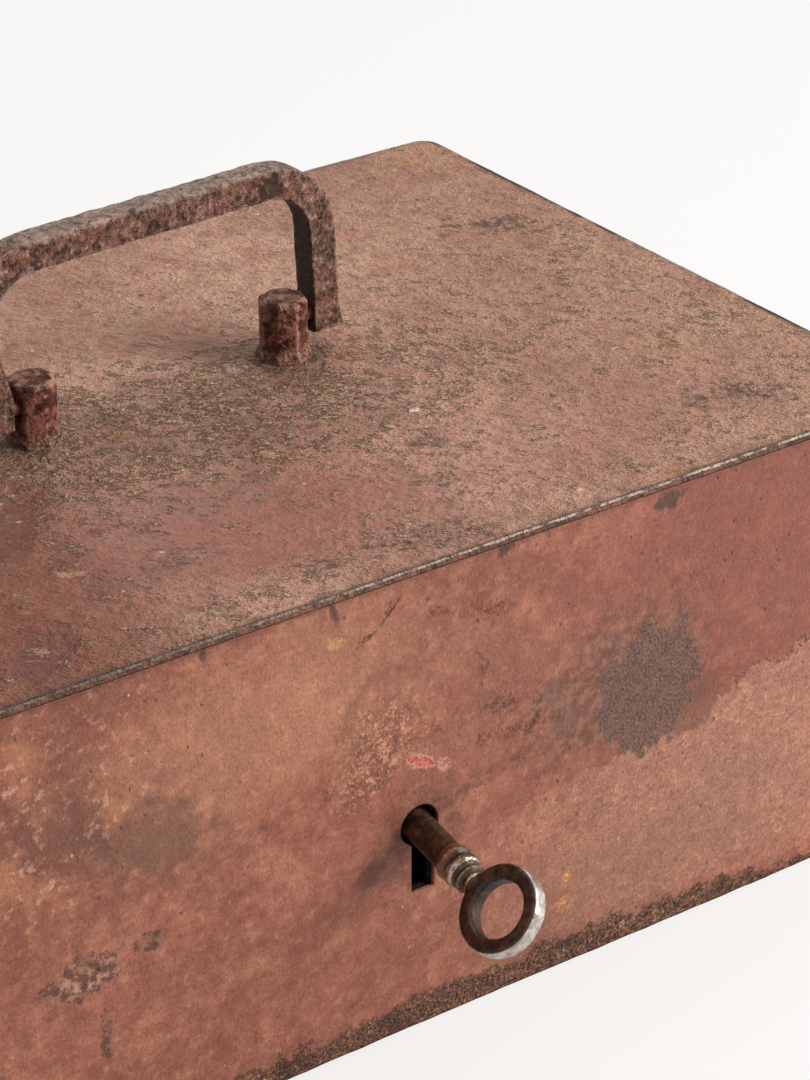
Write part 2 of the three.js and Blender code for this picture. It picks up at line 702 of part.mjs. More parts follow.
// Lid plate and the three strips that keep it square on the walls
function addLid() {
  const plate = extrudeUp(roundedRectangle(boxWidth, boxDepth, cornerRadius), [lidUnder, boxHeight]);
  const tools = Object.values(sides).map((side) => {
    const through = [-lidSheet - overrun, overrun];
    const hole = rodAlongZ(tenonRadius + seatGap, through, side * postX, 0, pinSides);
    return hole.applyMatrix4(handleFrame.matrix);
  });
  const blind = [lidUnder - overrun, lidUnder + rivetBlindDepth];
  for (const [x, y] of [...lidRivetPlaces, ...stapleRivetPlaces]) {
    tools.push(rodAlongZ(rivetHoleRadius, blind, x, y, rivetSides));
  }
  addPiece("lid_plate", cut(plate, ...tools), lidPaint);
  const outX = boxWidth / 2 - wallSheet - lidRimInset;
  const outY = frontFace + wallSheet + lidRimInset;
  const heights = [lidUnder - seatGap - lidRimHeight, lidUnder - seatGap];
  const frontHalf = outX - lidRimSheet - seatGap;
  const front = block([-frontHalf, frontHalf], [outY, outY + lidRimSheet], heights);
  addPiece("lid_rim_front", front, innerIron);
  const ends = [outY, backFace - lidRimBackGap];
  addPiece("lid_rim_left", block([-outX, -outX + lidRimSheet], ends, heights), innerIron);
  addPiece("lid_rim_right", block([outX - lidRimSheet, outX], ends, heights), innerIron);
}

// Lock case
function addLockCase() {
  const screwPlaces = [];
  for (const x of [lockLeft + lockScrewInset, lockRight - lockScrewInset]) {
    screwPlaces.push([x, lockBottom + lockScrewInset], [x, lockTop - lockScrewInset]);
  }
  const screwHole = ([x, z], ends) => rodAlongY(screwRadius + seatGap, ends, x, z, rivetSides);
  const blind = [lockPlateBack - screwBlindDepth, lockPlateBack + overrun];
  const plate = block(lockPlateX, [lockPlateFront, lockPlateBack], lockPlateZ);
  const plateTools = [keyholeTool([lockPlateFront - overrun, lockPlateBack + overrun])];
  plateTools.push(...screwPlaces.map((place) => screwHole(place, blind)));
  addPiece("lock_plate", cut(plate, ...plateTools), lockIron);

  const wallY = [lockPlateBack + seatGap, lockCapFront - seatGap];
  const wallZ = [lockBottom, lockTop];
  addPiece("lock_wall_left", block([lockLeft, lockLeft + lockWallSheet], wallY, wallZ), lockIron);
  addPiece("lock_wall_right", block([lockRight - lockWallSheet, lockRight], wallY, wallZ), lockIron);
  const between = [lockLeft + lockWallSheet + seatGap, lockRight - lockWallSheet - seatGap];
  const bottomWall = block(between, wallY, [lockBottom, lockBottom + lockWallSheet]);
  addPiece("lock_wall_bottom", bottomWall, lockIron);
  const topWall = block(between, wallY, [lockTop - lockWallSheet, lockTop]);
  const tongueSlot = block(
    [tongueLeft - tongueSlotGap, tongueRight + tongueSlotGap],
    [wallY[0] - overrun, tongueBack + tongueSlotGap],
    [lockTop - lockWallSheet - overrun, lockTop + overrun],
  );
  addPiece("lock_wall_top", cut(topWall, tongueSlot), lockIron);

  const cap = block([lockLeft, lockRight], [lockCapFront, lockCapBack], [lockBottom, lockTop]);
  const through = [lockCapFront - overrun, lockCapBack + overrun];
  const capTools = screwPlaces.map((place) => screwHole(place, through));
  capTools.push(rodAlongY(keyTipRadius + lockCapBoreGap, through, keyX, keyHeight, barrelSides));
  addPiece("lock_cap", cut(cap, ...capTools), lockIron);

  const length = lockCapBack - lockPlateBack + screwBlindDepth;
  const profile = [
    [0, -length],
    [screwRadius, -length],
    [screwRadius, 0],
    [screwHeadRadius, 0],
    [screwHeadRadius, screwHeadHeight * screwRimShare],
    [0, screwHeadHeight],
  ];
  addFasteners("lock_screw", screwPlaces, ([x, z]) => {
    return turned(profile, rivetSides).rotateX(-Math.PI / 2).translate(x, lockCapBack + seatGap, z);
  });
}

function addWard() {
  const shape = new THREE.Shape();
  const start = -Math.PI / 2 + wardOpening;
  const end = Math.PI * 1.5 - wardOpening;
  shape.absarc(0, 0, wardInner + wardSheet, start, end, false);
  shape.absarc(0, 0, wardInner, end, start, true);
  const front = lockPlateBack + seatGap;
  const ward = extrudeBack(shape, [front, front + wardDepth], keyholeSteps);
  addPiece("ward_ring", ward, lockIron).position.set(keyX, 0, keyHeight);
}

// Three guides carry the bolt; the last one takes its end when it is thrown
function addGuides() {
  const window = rectangle(
    [boltFront - runGap, boltBack + runGap],
    [boltBottom - runGap, boltTop + runGap],
  );
  const outside = rectangle(
    [lockPlateBack + seatGap, boltBack + runGap + guideWeb],
    [boltBottom - runGap - guideWeb, boltTop + runGap + guideWeb],
  );
  outside.holes.push(window);
  for (const [index, left] of [leftGuide, middleGuide, rightGuide].entries()) {
    const guide = extrudeSideways(outside, [left, left + guideLength]);
    addPiece(`bolt_guide_${index + 1}`, guide, lockIron);
  }
}

// The bolt is drawn back by the key at rest. Turning the key back to its way in throws it to the right
function addBolt() {
  const throwLength = bitCorner(keyTurn) - bitCorner(0);
  const rightFace = keyX + bitThickness / 2 + talonGap - throwLength;
  const floorTop = keyHeight - bitReach - talonFloorGap;
  const floorBottom = floorTop - talonFloor;
  const bar = block([boltLeft, boltRight], [boltFront, boltBack], [boltBottom, boltTop]);
  const legX = [boltLegLeft, boltLegLeft + boltLegWidth];
  const leg = block(legX, [boltFront, boltBack], [floorBottom, boltTop - boltHeight / 2]);
  const thick = [boltFront - talonExtra, boltBack + talonExtra];
  const horn = block([boltLegLeft, talonLeftFace], thick, [floorBottom, floorTop + talonHeight]);
  const floor = block([boltLegLeft, rightFace + talonHornWidth], thick, [floorBottom, floorTop]);
  const rightX = [rightFace, rightFace + talonHornWidth];
  const rightHorn = block(rightX, thick, [floorBottom, floorTop + talonHornHeight]);
  addPiece("bolt", fuse(bar, leg, horn, floor, rightHorn), boltSteel);

  const rise = lockTop - lockWallSheet - seatGap - (boltTop + seatGap);
  const halfSpan = springLength / 2;
  const radius = (halfSpan ** 2 + rise ** 2) / (2 * rise);
  const centre = boltTop + seatGap + rise - radius;
  const reach = Math.asin(halfSpan / radius);
  const innerReach = Math.acos((radius * Math.cos(reach)) / (radius - springSheet));
  const up = Math.PI / 2;
  const shape = new THREE.Shape();
  shape.absarc(0, 0, radius, up - reach, up + reach, false);
  shape.absarc(0, 0, radius - springSheet, up + innerReach, up - innerReach, true);
  const spring = extrudeBack(shape, [boltFront, boltBack], springSteps);
  addPiece("bolt_spring", spring, springSteel).position.set(boltLegLeft + halfSpan, 0, centre);
}

// Key, drawn along -Y from the point where its axis crosses the lock's, with the bit straight down
function keyProfile() {
  const bulge = (out, radius, length, base) => [
    [base, out - length / 2],
    [(base + radius) / 2, out - length * beadShoulderShare],
    [radius, out - length * beadCrownShare],
    [radius, out + length * beadCrownShare],
    [(base + radius) / 2, out + length * beadShoulderShare],
    [base, out + length / 2],
  ];
  return [
    [0, -bitBack - keyTipLength],
    [keyTipRadius, -bitBack - keyTipLength],
    [keyTipRadius, -bitBack],
    [keyShankRadius, -bitBack],
    ...bulge(keyCollarOut, keyCollarRadius, keyCollarLength, keyShankRadius),
    ...bulge(keyBeadOut, keyBeadRadius, keyBeadLength, keyNeckRadius),
    ...bulge(keyRingletOut, keyRingletRadius, keyRingletLength, keyNeckRadius),
    [keyNeckRadius, keyBowOut - keyBowRadius],
    [keyBowThickness * keyNeckEndShare, keyBowOut - keyBowHole - keyBowChamfer],
    [0, keyBowOut - keyBowHole - keyBowChamfer],
  ];
}

function makeBow() {
  const half = keyBowThickness / 2;
  const c = keyBowChamfer;
  const section = [
    [keyBowHole + c, -half],
    [keyBowRadius - c, -half],
    [keyBowRadius, -half + c],
    [keyBowRadius, half - c],
    [keyBowRadius - c, half],
    [keyBowHole + c, half],
    [keyBowHole, half - c],
    [keyBowHole, -half + c],
    [keyBowHole + c, -half],
  ];
  return turned(section, bowSides).rotateY(Math.PI / 2).translate(0, -keyBowOut, 0);
}

function makeKey() {
  const shank = turned(keyProfile(), barrelSides).rotateX(Math.PI / 2);
  const half = bitThickness / 2;
  const bit = block([-half, half], [bitFront, bitBack], [-bitReach, -keyShankRadius / 2]);
  const wardBack = lockPlateBack + seatGap + wardDepth - keyPivotY;
  const notch = block(
    [-half - overrun, half + overrun],
    [bitFront - overrun, wardBack + wardNotchEnd],
    [-wardInner - wardSheet - wardNotchGap, -wardInner + wardNotchGap],
  );
  return fuse(shank, cut(bit, notch), makeBow());
}

function addKey() {
  const key = addPiece("key", makeKey(), keyIron);
  key.position.set(keyX, keyPivotY, keyHeight);
  key.rotation.set(keyDroop, keyTurn, keyLean, "ZXY");
}

addBody();
addHinges();
addLid();
addStaple();
addHandle();
addLockCase();
addWard();
addGuides();
addBolt();
addKey();

export default strongbox;
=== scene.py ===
# Old iron strongbox: worn edges, rust and paint, floor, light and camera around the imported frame.
import json
import math

import bmesh
import bpy
from mathutils import Matrix, Vector, noise
from mathutils.kdtree import KDTree


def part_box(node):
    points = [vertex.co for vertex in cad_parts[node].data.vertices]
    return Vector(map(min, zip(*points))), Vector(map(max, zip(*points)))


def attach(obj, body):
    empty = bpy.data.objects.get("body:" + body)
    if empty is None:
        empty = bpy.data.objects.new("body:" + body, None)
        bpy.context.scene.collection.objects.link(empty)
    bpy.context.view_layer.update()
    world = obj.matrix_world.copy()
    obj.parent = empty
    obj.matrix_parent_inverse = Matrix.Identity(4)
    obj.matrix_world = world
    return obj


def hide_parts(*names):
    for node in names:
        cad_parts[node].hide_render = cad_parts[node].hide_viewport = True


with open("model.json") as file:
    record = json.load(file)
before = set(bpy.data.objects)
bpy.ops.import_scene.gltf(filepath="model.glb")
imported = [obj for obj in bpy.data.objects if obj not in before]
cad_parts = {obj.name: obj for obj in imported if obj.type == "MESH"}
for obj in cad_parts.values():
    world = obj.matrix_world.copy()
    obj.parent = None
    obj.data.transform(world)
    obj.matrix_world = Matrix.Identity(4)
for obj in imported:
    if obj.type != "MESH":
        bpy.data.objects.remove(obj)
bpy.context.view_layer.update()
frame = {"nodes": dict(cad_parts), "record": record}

MM = 0.001
bodies = frame["record"]["behaviour"]["bodies"]
scene = bpy.context.scene


# The photograph's camera, solved from the vanishing lines of the box's edges: its place in
# metres, its angle below the horizon, and how far it turns from +Y towards +X
CAMERA_PLACE = (-0.4022, -0.6476, 0.4843)
CAMERA_DIP = 27.809
CAMERA_TURN = 35.974
CAMERA_LENS = 120.11
CAMERA_SENSOR = 36


def add_camera():
    data = bpy.data.cameras.new("camera")
    data.sensor_fit = "VERTICAL"
    data.sensor_height = CAMERA_SENSOR
    data.lens = CAMERA_LENS
    camera = bpy.data.objects.new("camera", data)
    camera.location = CAMERA_PLACE
    camera.rotation_euler = (math.radians(90 - CAMERA_DIP), 0, math.radians(-CAMERA_TURN))
    scene.collection.objects.link(camera)
    scene.camera = camera


# Colours are written as they look on screen, and stored as the linear values that Blender takes
def paint(text):
    parts = [int(text[i:i + 2], 16) / 255 for i in (0, 2, 4)]
    linear = tuple(c / 12.92 if c <= 0.04045 else ((c + 0.055) / 1.055) ** 2.4 for c in parts)
    return linear + (1.0,)


# A material being wired. Its calls take numbers, colours or sockets, and return sockets
class Finish:
    def __init__(self, name):
        self.material = bpy.data.materials.new(name)
        self.material.use_nodes = True
        self.tree = self.material.node_tree
        self.shader = self.tree.nodes["Principled BSDF"]
        rest = self.node("ShaderNodeTexCoord").outputs["Object"]
        self.at = self.scaled(rest, 1 / MM)
        self.x, self.y, self.z = self.axes(self.at)
        self.frays = {}

    def node(self, kind, **settings):
        made = self.tree.nodes.new(kind)
        for key, value in settings.items():
            setattr(made, key, value)
        return made

    def feed(self, socket, value):
        if isinstance(value, bpy.types.NodeSocket):
            self.tree.links.new(value, socket)
        else:
            socket.default_value = value

    def scaled(self, vector, factor):
        made = self.node("ShaderNodeVectorMath", operation="SCALE")
        self.feed(made.inputs[0], vector)
        made.inputs["Scale"].default_value = factor
        return made.outputs[0]

    def joined(self, operation, a, b):
        made = self.node("ShaderNodeVectorMath", operation=operation)
        self.feed(made.inputs[0], a)
        self.feed(made.inputs[1], b)
        return made.outputs[0]

    def axes(self, vector):
        made = self.node("ShaderNodeSeparateXYZ")
        self.feed(made.inputs[0], vector)
        return made.outputs[:]

    def math(self, operation, a, b=0.0, clamp=False):
        made = self.node("ShaderNodeMath", operation=operation, use_clamp=clamp)
        self.feed(made.inputs[0], a)
        self.feed(made.inputs[1], b)
        return made.outputs[0]

    def times(self, *values):
        whole = values[0]
        for value in values[1:]:
            whole = self.math("MULTIPLY", whole, value)
        return whole

    def plus(self, *values):
        whole = values[0]
        for value in values[1:]:
            whole = self.math("ADD", whole, value)
        return whole

    def either(self, *values):
        whole = values[0]
        for value in values[1:]:
            whole = self.math("MAXIMUM", whole, value)
        return whole

    def fade(self, value, start, end, low=0.0, high=1.0):
        made = self.node("ShaderNodeMapRange", interpolation_type="SMOOTHSTEP")
        for socket, number in zip(made.inputs, (value, start, end, low, high)):
            self.feed(socket, number)
        return made.outputs[0]

    # Cloudy noise between about 0.2 and 0.8, with clouds about the given size in millimetres
    def cloud(self, size, detail=2.0, rough=0.6, seed=0.0, stretch=(1, 1, 1), tilt=0.0, turn=0.0):
        place = self.node("ShaderNodeMapping", vector_type="TEXTURE")
        self.feed(place.inputs["Vector"], self.at)
        place.inputs["Location"].default_value = (seed * 37.1, seed * 17.3, seed * 29.9)
        place.inputs["Rotation"].default_value = (0, math.radians(-tilt), math.radians(turn))
        place.inputs["Scale"].default_value = [size * s for s in stretch]
        made = self.node("ShaderNodeTexNoise")
        self.feed(made.inputs["Vector"], place.outputs[0])
        made.inputs["Scale"].default_value = 1
        made.inputs["Detail"].default_value = detail
        made.inputs["Roughness"].default_value = rough
        return made.outputs[0]

    def blotch(self, size, start, end, **settings):
        return self.fade(self.cloud(size, **settings), start, end)

    # Noise from -1 to 1 that frays the rims of patches, made once for each size
    def fray(self, size):
        if size not in self.frays:
            cloud = self.cloud(size, detail=3, rough=0.68, seed=size)
            self.frays[size] = self.fade(cloud, 0.25, 0.75, -1, 1)
        return self.frays[size]

    # Scattered ragged dots: cells of the given size in millimetres, of which a share holds a dot
    def dots(self, size, radius, share, seed=0.0, stretch=(1, 1, 1)):
        place = self.joined("ADD", self.at, (seed * 13.7, seed * 7.9, seed * 23.3))
        place = self.joined("DIVIDE", place, tuple(size * s for s in stretch))
        cells = self.node("ShaderNodeTexVoronoi")
        self.feed(cells.inputs["Vector"], place)
        cells.inputs["Scale"].default_value = 1
        chance = self.axes(cells.outputs["Color"])
        there = self.math("LESS_THAN", chance[0], share)
        reach = self.fade(chance[1], 0.0, 1.0, radius * 0.4, radius)
        reach = self.plus(reach, self.times(self.fray(3), radius * 0.6))
        inside = self.math("SUBTRACT", reach, cells.outputs["Distance"])
        spot = self.fade(inside, -radius * 0.1, radius * 0.5)
        return self.times(there, spot)

    # An oval patch with a frayed rim; radii in millimetres, turned about the axis that looks at it
    def patch(self, centre, radii, turn=(0, 0, 0), soft=0.25, ragged=0.3, grain=6):
        place = self.node("ShaderNodeMapping", vector_type="TEXTURE")
        self.feed(place.inputs["Vector"], self.at)
        place.inputs["Location"].default_value = centre
        place.inputs["Rotation"].default_value = [math.radians(a) for a in turn]
        place.inputs["Scale"].default_value = radii
        reach = self.node("ShaderNodeVectorMath", operation="LENGTH")
        self.feed(reach.inputs[0], place.outputs[0])
        rim = self.plus(reach.outputs["Value"], self.times(self.fray(grain), ragged))
        return self.fade(rim, 1 + soft, 1 - soft)

    # A patch seen from the front or from above, given by two coordinates and two radii
    def on_front(self, x, z, wide, high, turn=0.0, **settings):
        return self.patch((x, FRONT, z), (wide, SIDE_REACH, high), (0, -turn, 0), **settings)

    def on_top(self, x, y, wide, deep, turn=0.0, **settings):
        return self.patch((x, y, TOP), (wide, deep, SIDE_REACH), (0, 0, turn), **settings)

    # A soft mask broken into grains where it is weak
    def crumbled(self, mask, grain, strength=1.6):
        broken = self.plus(mask, self.times(self.plus(grain, -0.5), strength))
        return self.times(self.fade(broken, 0.4, 0.6), self.fade(mask, 0.02, 0.2))

    def mix(self, share, a, b, blend="MIX"):
        made = self.node("ShaderNodeMix", data_type="RGBA", blend_type=blend)
        self.feed(made.inputs[0], share)
        self.feed(made.inputs[6], paint(a) if isinstance(a, str) else a)
        self.feed(made.inputs[7], paint(b) if isinstance(b, str) else b)
        return made.outputs[2]

    # Lays colours over a base: (share, colour) pairs, in order
    def layers(self, base, *pairs):
        whole = base
        for share, colour in pairs:
            whole = self.mix(share, whole, colour)
        return whole

    # Multiplies a colour by a level that follows (noise, strength) pairs
    def shaded(self, colour, *pairs):
        level = 1.0
        for value, strength in pairs:
            level = self.plus(level, self.times(self.plus(value, -0.5), strength))
        grey = self.node("ShaderNodeCombineXYZ")
        for socket in grey.inputs:
            self.feed(socket, level)
        return self.mix(1.0, colour, grey.outputs[0], "MULTIPLY")

    def blend(self, share, a, b):
        made = self.node("ShaderNodeMix", data_type="FLOAT")
        for socket, value in zip(made.inputs[:1] + made.inputs[2:4], (share, a, b)):
            self.feed(socket, value)
        return made.outputs[0]

    # Distance in millimetres from the solid's outward edges
    def near_edge(self):
        return self.node("ShaderNodeAttribute", attribute_name="edge").outputs["Fac"]

    # Relief from (height, depth in millimetres) pairs
    def finish(self, colour, roughness, reliefs, metallic=0.0, specular=0.3):
        self.feed(self.shader.inputs["Base Color"], colour)
        self.feed(self.shader.inputs["Roughness"], roughness)
        self.feed(self.shader.inputs["Metallic"], metallic)
        self.shader.inputs["Specular IOR Level"].default_value = specular
        bump = self.node("ShaderNodeBump")
        bump.inputs["Distance"].default_value = MM
        heights = (self.times(height, depth) for height, depth in reliefs)
        self.feed(bump.inputs["Height"], self.plus(*heights))
        self.feed(self.shader.inputs["Normal"], bump.outputs[0])
        return self.material


# What marks and reliefs are measured from, in millimetres: the far corners of the lid and the
# walls, the lid's top, the front face, the middle of the keyhole's round part and the middle of
# its whole height. A patch reaches SIDE_REACH into the sheet behind it
lid_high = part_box("lid_plate")[1] / MM
wall_low, wall_high = (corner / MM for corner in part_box("body_wall"))
TOP = lid_high.z
FRONT = wall_low.y
KEYHOLE = (-0.5, 55)
BELOW_KEYHOLE = (-0.5, 51)
KEYHOLE_MIDDLE = 48
SIDE_REACH = 30
# The posts' middles, in metres
post_boxes = [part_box("handle_post_left"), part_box("handle_post_right")]
post_places = [((low.x + high.x) / 2, (low.y + high.y) / 2) for low, high in post_boxes]


# How far inside the lid's outline a place is, in millimetres
def inset(f):
    half_x = f.math("SUBTRACT", lid_high.x, f.math("ABSOLUTE", f.x))
    half_y = f.math("SUBTRACT", lid_high.y, f.math("ABSOLUTE", f.y))
    return f.math("MINIMUM", half_x, half_y)


# Brick red paint on the walls, with bare patches, stains and a rusty foot
def make_wall_paint():
    f = Finish("wall_paint")
    grain = f.cloud(0.8, detail=2, rough=0.8, seed=1)
    fleck = f.cloud(3.2, detail=3, rough=0.68, seed=2)
    strokes = f.cloud(1.7, detail=2, rough=0.65, seed=3, stretch=(2.8, 2.8, 0.7), tilt=14)
    marks = f.cloud(2.4, detail=3, rough=0.68, seed=7, stretch=(1.4, 1.4, 0.8), tilt=25)
    clouds = f.cloud(15, detail=4, rough=0.62, seed=4)
    broad = f.cloud(60, detail=2, seed=5)
    colour = f.mix(f.fade(broad, 0.4, 0.6), "975b48", "8a5240")
    colour = f.layers(
        colour,
        (f.times(f.fade(clouds, 0.52, 0.7), 0.6), "b67a5d"),
        (f.times(f.fade(clouds, 0.45, 0.3), 0.6), "824536"),
        (f.times(f.fade(f.fray(6), 0.05, 0.7), 0.3), "b3795f"),
        (f.times(f.fade(f.fray(6), -0.05, -0.7), 0.35), "794536"),
        (f.times(f.fade(strokes, 0.54, 0.7), 0.15), "bb8668"),
        (f.times(f.fade(strokes, 0.46, 0.3), 0.2), "7b4233"),
        (f.times(f.fade(fleck, 0.56, 0.7), 0.35), "bb8a64"),
        (f.times(f.fade(fleck, 0.42, 0.3), 0.4), "6f4234"),
    )
    # The lower right is lighter, up to a slanting border, with a darker stain above it
    rise = f.plus(f.z, f.times(f.x, -0.195), -41.0)
    border = f.plus(rise, f.times(f.fray(12), 3.0), f.times(f.fray(3), 0.7))
    right = f.times(f.fade(f.x, 0, 70), f.fade(f.y, FRONT + 10, FRONT + 3))
    below = f.times(f.fade(border, 0.5, -0.5), right, f.fade(f.z, 0, 16))
    above = f.times(f.fade(border, -0.4, 0.6), f.fade(rise, 22, 1), right)
    colour = f.layers(
        colour,
        (f.times(below, 0.5), "a97a63"),
        (f.times(below, f.fade(strokes, 0.52, 0.66), 0.18), "c8957a"),
        (f.times(below, f.fade(marks, 0.48, 0.38), 0.4), "875746"),
        (f.times(below, f.fade(f.plus(grain, f.times(fleck, 0.6)), 0.7, 0.62), 0.35), "72493a"),
        (f.times(below, f.fade(f.plus(grain, f.times(fleck, 0.6)), 0.88, 0.96), 0.25), "cfa085"),
        (f.times(above, 0.5), "84493a"),
        (f.times(f.on_front(-42, 94, 42, 18, 5, soft=0.7, grain=12), 0.4), "bd8667"),
        (f.times(f.on_front(104, 98, 60, 28, soft=0.6, grain=12), 0.75), "834a3e"),
        (f.times(f.on_front(72, 24, 44, 12, 8, soft=0.7, ragged=0.5, grain=12), 0.5), "8e6350"),
    )
    # The bare patch, with its feathered rim, the stains round it, a darker halo round the keyhole,
    # and a painted shadow of the key below it
    halo = f.either(
        f.on_front(55, 72, 23, 15, 22, soft=0.55, ragged=0.4),
        f.times(f.on_front(45, 73, 13, 7, 10, soft=0.6, ragged=0.6, grain=3), 0.9),
    )
    core = f.crumbled(f.on_front(65, 67, 14.5, 16.5, -18, soft=0.3, ragged=0.22), grain, 0.7)
    lobe = f.on_front(77.5, 60, 8.5, 9, 25, soft=0.06, ragged=0.15, grain=3)
    bare = f.mix(f.fade(grain, 0.36, 0.66), "5c4740", "795d52")
    bare = f.mix(f.times(f.fade(fleck, 0.5, 0.64), 0.5), bare, "7c5646")
    colour = f.layers(
        colour,
        (f.times(halo, 0.9), f.mix(f.fade(fleck, 0.4, 0.62), "694336", "875c49")),
        (f.times(lobe, 0.75), "744637"),
        (f.times(core, 0.88), bare),
        (f.times(f.on_front(41, 66, 3.6, 3.2, soft=0.3), 0.6), "6f4d42"),
        (f.times(f.on_front(-71.5, 77.5, 16, 10, -20, soft=0.4, ragged=0.4), 0.8), "755040"),
        (f.times(f.on_front(-92, 86, 14, 9, -20, soft=0.5, ragged=0.6), 0.6), "6d4537"),
        (f.times(f.on_front(20, 84, 16, 11, 30, soft=0.6, ragged=0.6, grain=12), 0.4), "855545"),
        # A darker halo round the keyhole, partly grime and partly painted shadow of the key
        (f.times(f.on_front(*BELOW_KEYHOLE, 11, 14, soft=0.5, ragged=0.25), 0.5), "5a372c"),
        # Painted shadow of the key, left of and below the keyhole
        (f.times(f.on_front(-14, 46, 4, 3, 30, soft=0.6, ragged=0.3), 0.5), "4a3029"),
    )
    # Orange and pale flaking at the far left of the front
    flaking = f.on_front(-106, 96, 34, 24, soft=0.5, ragged=0.4, grain=12)
    colour = f.layers(
        colour,
        (f.times(flaking, f.fade(clouds, 0.48, 0.58), 0.6), "ae7353"),
        (f.times(flaking, f.fade(fleck, 0.57, 0.64), 0.5), "c79c83"),
        (f.times(flaking, f.fade(clouds, 0.47, 0.38), 0.6), "73483a"),
    )
    # Rust spots with a pale middle, ochre flecks, and a red graze with a pale rim
    spots = f.either(
        f.on_front(-88, 48.5, 9, 5.4, 6, soft=0.3, ragged=0.5, grain=3),
        f.on_front(-71, 51.5, 4.4, 2.6, soft=0.3, ragged=0.35, grain=3),
        f.on_front(-83, 32, 1.5, 6, soft=0.4, ragged=0.45, grain=3),
        f.on_front(-42, 69, 1.0, 0.9, soft=0.2, ragged=0.2, grain=3),
        f.on_front(31, 73, 3.2, 2.2, 20, soft=0.5, ragged=0.6, grain=3),
    )
    ochre = f.either(
        f.on_front(41.8, 24.6, 1.4, 1.5, soft=0.3, ragged=0.5, grain=3),
        f.times(f.on_front(41.5, 17.5, 2.0, 1.6, soft=0.5, ragged=0.7, grain=3), 0.6),
        f.times(f.on_front(57, 29, 9, 4, 15, soft=0.7), f.fade(fleck, 0.62, 0.66)),
    )
    graze = f.on_front(0.9, 70.1, 4.4, 1.0, -28, soft=0.1, ragged=0.55, grain=3)
    graze_rim = f.either(
        f.on_front(1.1, 70.1, 5.4, 1.6, -28, soft=0.15, ragged=0.6, grain=3),
        f.times(
            f.on_front(6.4, 68.4, 2.4, 1.4, -20, soft=0.4, ragged=0.8, grain=3),
            f.fade(grain, 0.5, 0.56),
        ),
    )
    # A rubbed hollow above the keyhole, under a faint dark arc, and crusty brown marks round it
    arc = f.times(
        f.on_front(-9.5, 87.5, 11.5, 10, soft=0.12, ragged=0.12),
        f.math("SUBTRACT", 1.0, f.on_front(-7.6, 85.8, 10.6, 9.2, soft=0.25, ragged=0.12)),
    )
    hollow = f.either(
        f.on_front(-10, 79, 9, 8, 25, soft=0.6, ragged=0.6, grain=3),
        f.on_front(-16, 71, 7, 5, 10, soft=0.6, ragged=0.6, grain=3),
    )
    crusty = f.either(
        f.on_front(-9, 110.8, 4.4, 1.0, 45, soft=0.6, ragged=0.7, grain=3),
        f.on_front(-14, 106.8, 3.2, 0.9, 25, soft=0.6, ragged=0.7, grain=3),
        f.on_front(4.2, 107.3, 2.2, 1.2, -20, soft=0.5, ragged=0.7, grain=3),
        f.on_front(19, 103, 4.2, 1.8, -10, soft=0.6, ragged=0.8, grain=3),
        f.on_front(16.9, 88.6, 1.5, 3.6, 15, soft=0.5, ragged=0.7, grain=3),
        f.on_front(22.4, 78.3, 4.4, 3.0, soft=0.6, ragged=0.7, grain=3),
        f.on_front(17, 70.4, 2.1, 1.9, soft=0.3, ragged=0.5, grain=3),
        f.on_front(4, 77.6, 2.0, 1.6, 30, soft=0.5, ragged=0.7, grain=3),
        f.on_front(29, 69.4, 6.4, 2.4, -15, soft=0.6, ragged=0.8, grain=3),
    )
    crumb = f.fade(f.plus(f.times(grain, 0.6), f.times(marks, 0.4)), 0.52, 0.47)
    spot_brown = f.mix(f.fade(fleck, 0.45, 0.55), "4d342a", "84594a")
    chip = f.times(
        f.on_front(-87, 48.5, 6.5, 3, 4, soft=0.5, ragged=0.8, grain=3),
        f.fade(fleck, 0.46, 0.58),
    )
    hollow_grains = f.fade(f.plus(grain, f.times(marks, 0.8)), 0.94, 1.04)
    small_stain = f.on_front(22.2, 78, 2.8, 2.0, soft=0.5, ragged=0.4, grain=3)
    halo_stain = f.on_front(36.9, 76.2, 2.6, 3.4, soft=0.5, ragged=0.4, grain=3)
    edge_ochre = f.on_front(-23.4, 107.6, 1.7, 1.4, soft=0.6, ragged=0.6, grain=3)
    colour = f.layers(
        colour,
        (f.times(f.crumbled(spots, grain, 1.0), 0.75), spot_brown),
        (f.times(chip, 0.55), "c3967e"),
        (f.times(arc, 0.4), "6d4438"),
        (f.times(hollow, f.fade(marks, 0.52, 0.44), 0.3), "74483a"),
        (f.times(hollow, crumb, 0.45), "65402f"),
        (f.times(hollow, hollow_grains, 0.6), "c99a7a"),
        (f.times(small_stain, 0.45), "785a4e"),
        (f.times(halo_stain, 0.5), "6d5045"),
        (f.times(crusty, crumb, 0.6), "522f23"),
        (f.times(graze_rim, 0.55), "d39a86"),
        (f.times(graze, 0.85), f.mix(f.fade(grain, 0.4, 0.6), "b04a3f", "c96a5b")),
        (f.times(ochre, 0.85), f.mix(f.fade(grain, 0.42, 0.56), "a8672c", "dca354")),
        (f.times(edge_ochre, 0.6), "c99a5e"),
    )
    # Other sides have bare patches of their own
    worn = f.cloud(58, detail=4, seed=11)
    beside = f.fade(f.y, FRONT + 2, FRONT + 8)
    elsewhere = f.crumbled(f.times(f.fade(worn, 0.57, 0.66), beside), grain, 1.0)
    colour = f.layers(
        colour,
        (f.times(f.fade(f.plus(worn, f.times(f.fray(6), 0.03)), 0.49, 0.6), beside, 0.6), "754739"),
        (f.times(elsewhere, 0.8), bare),
    )
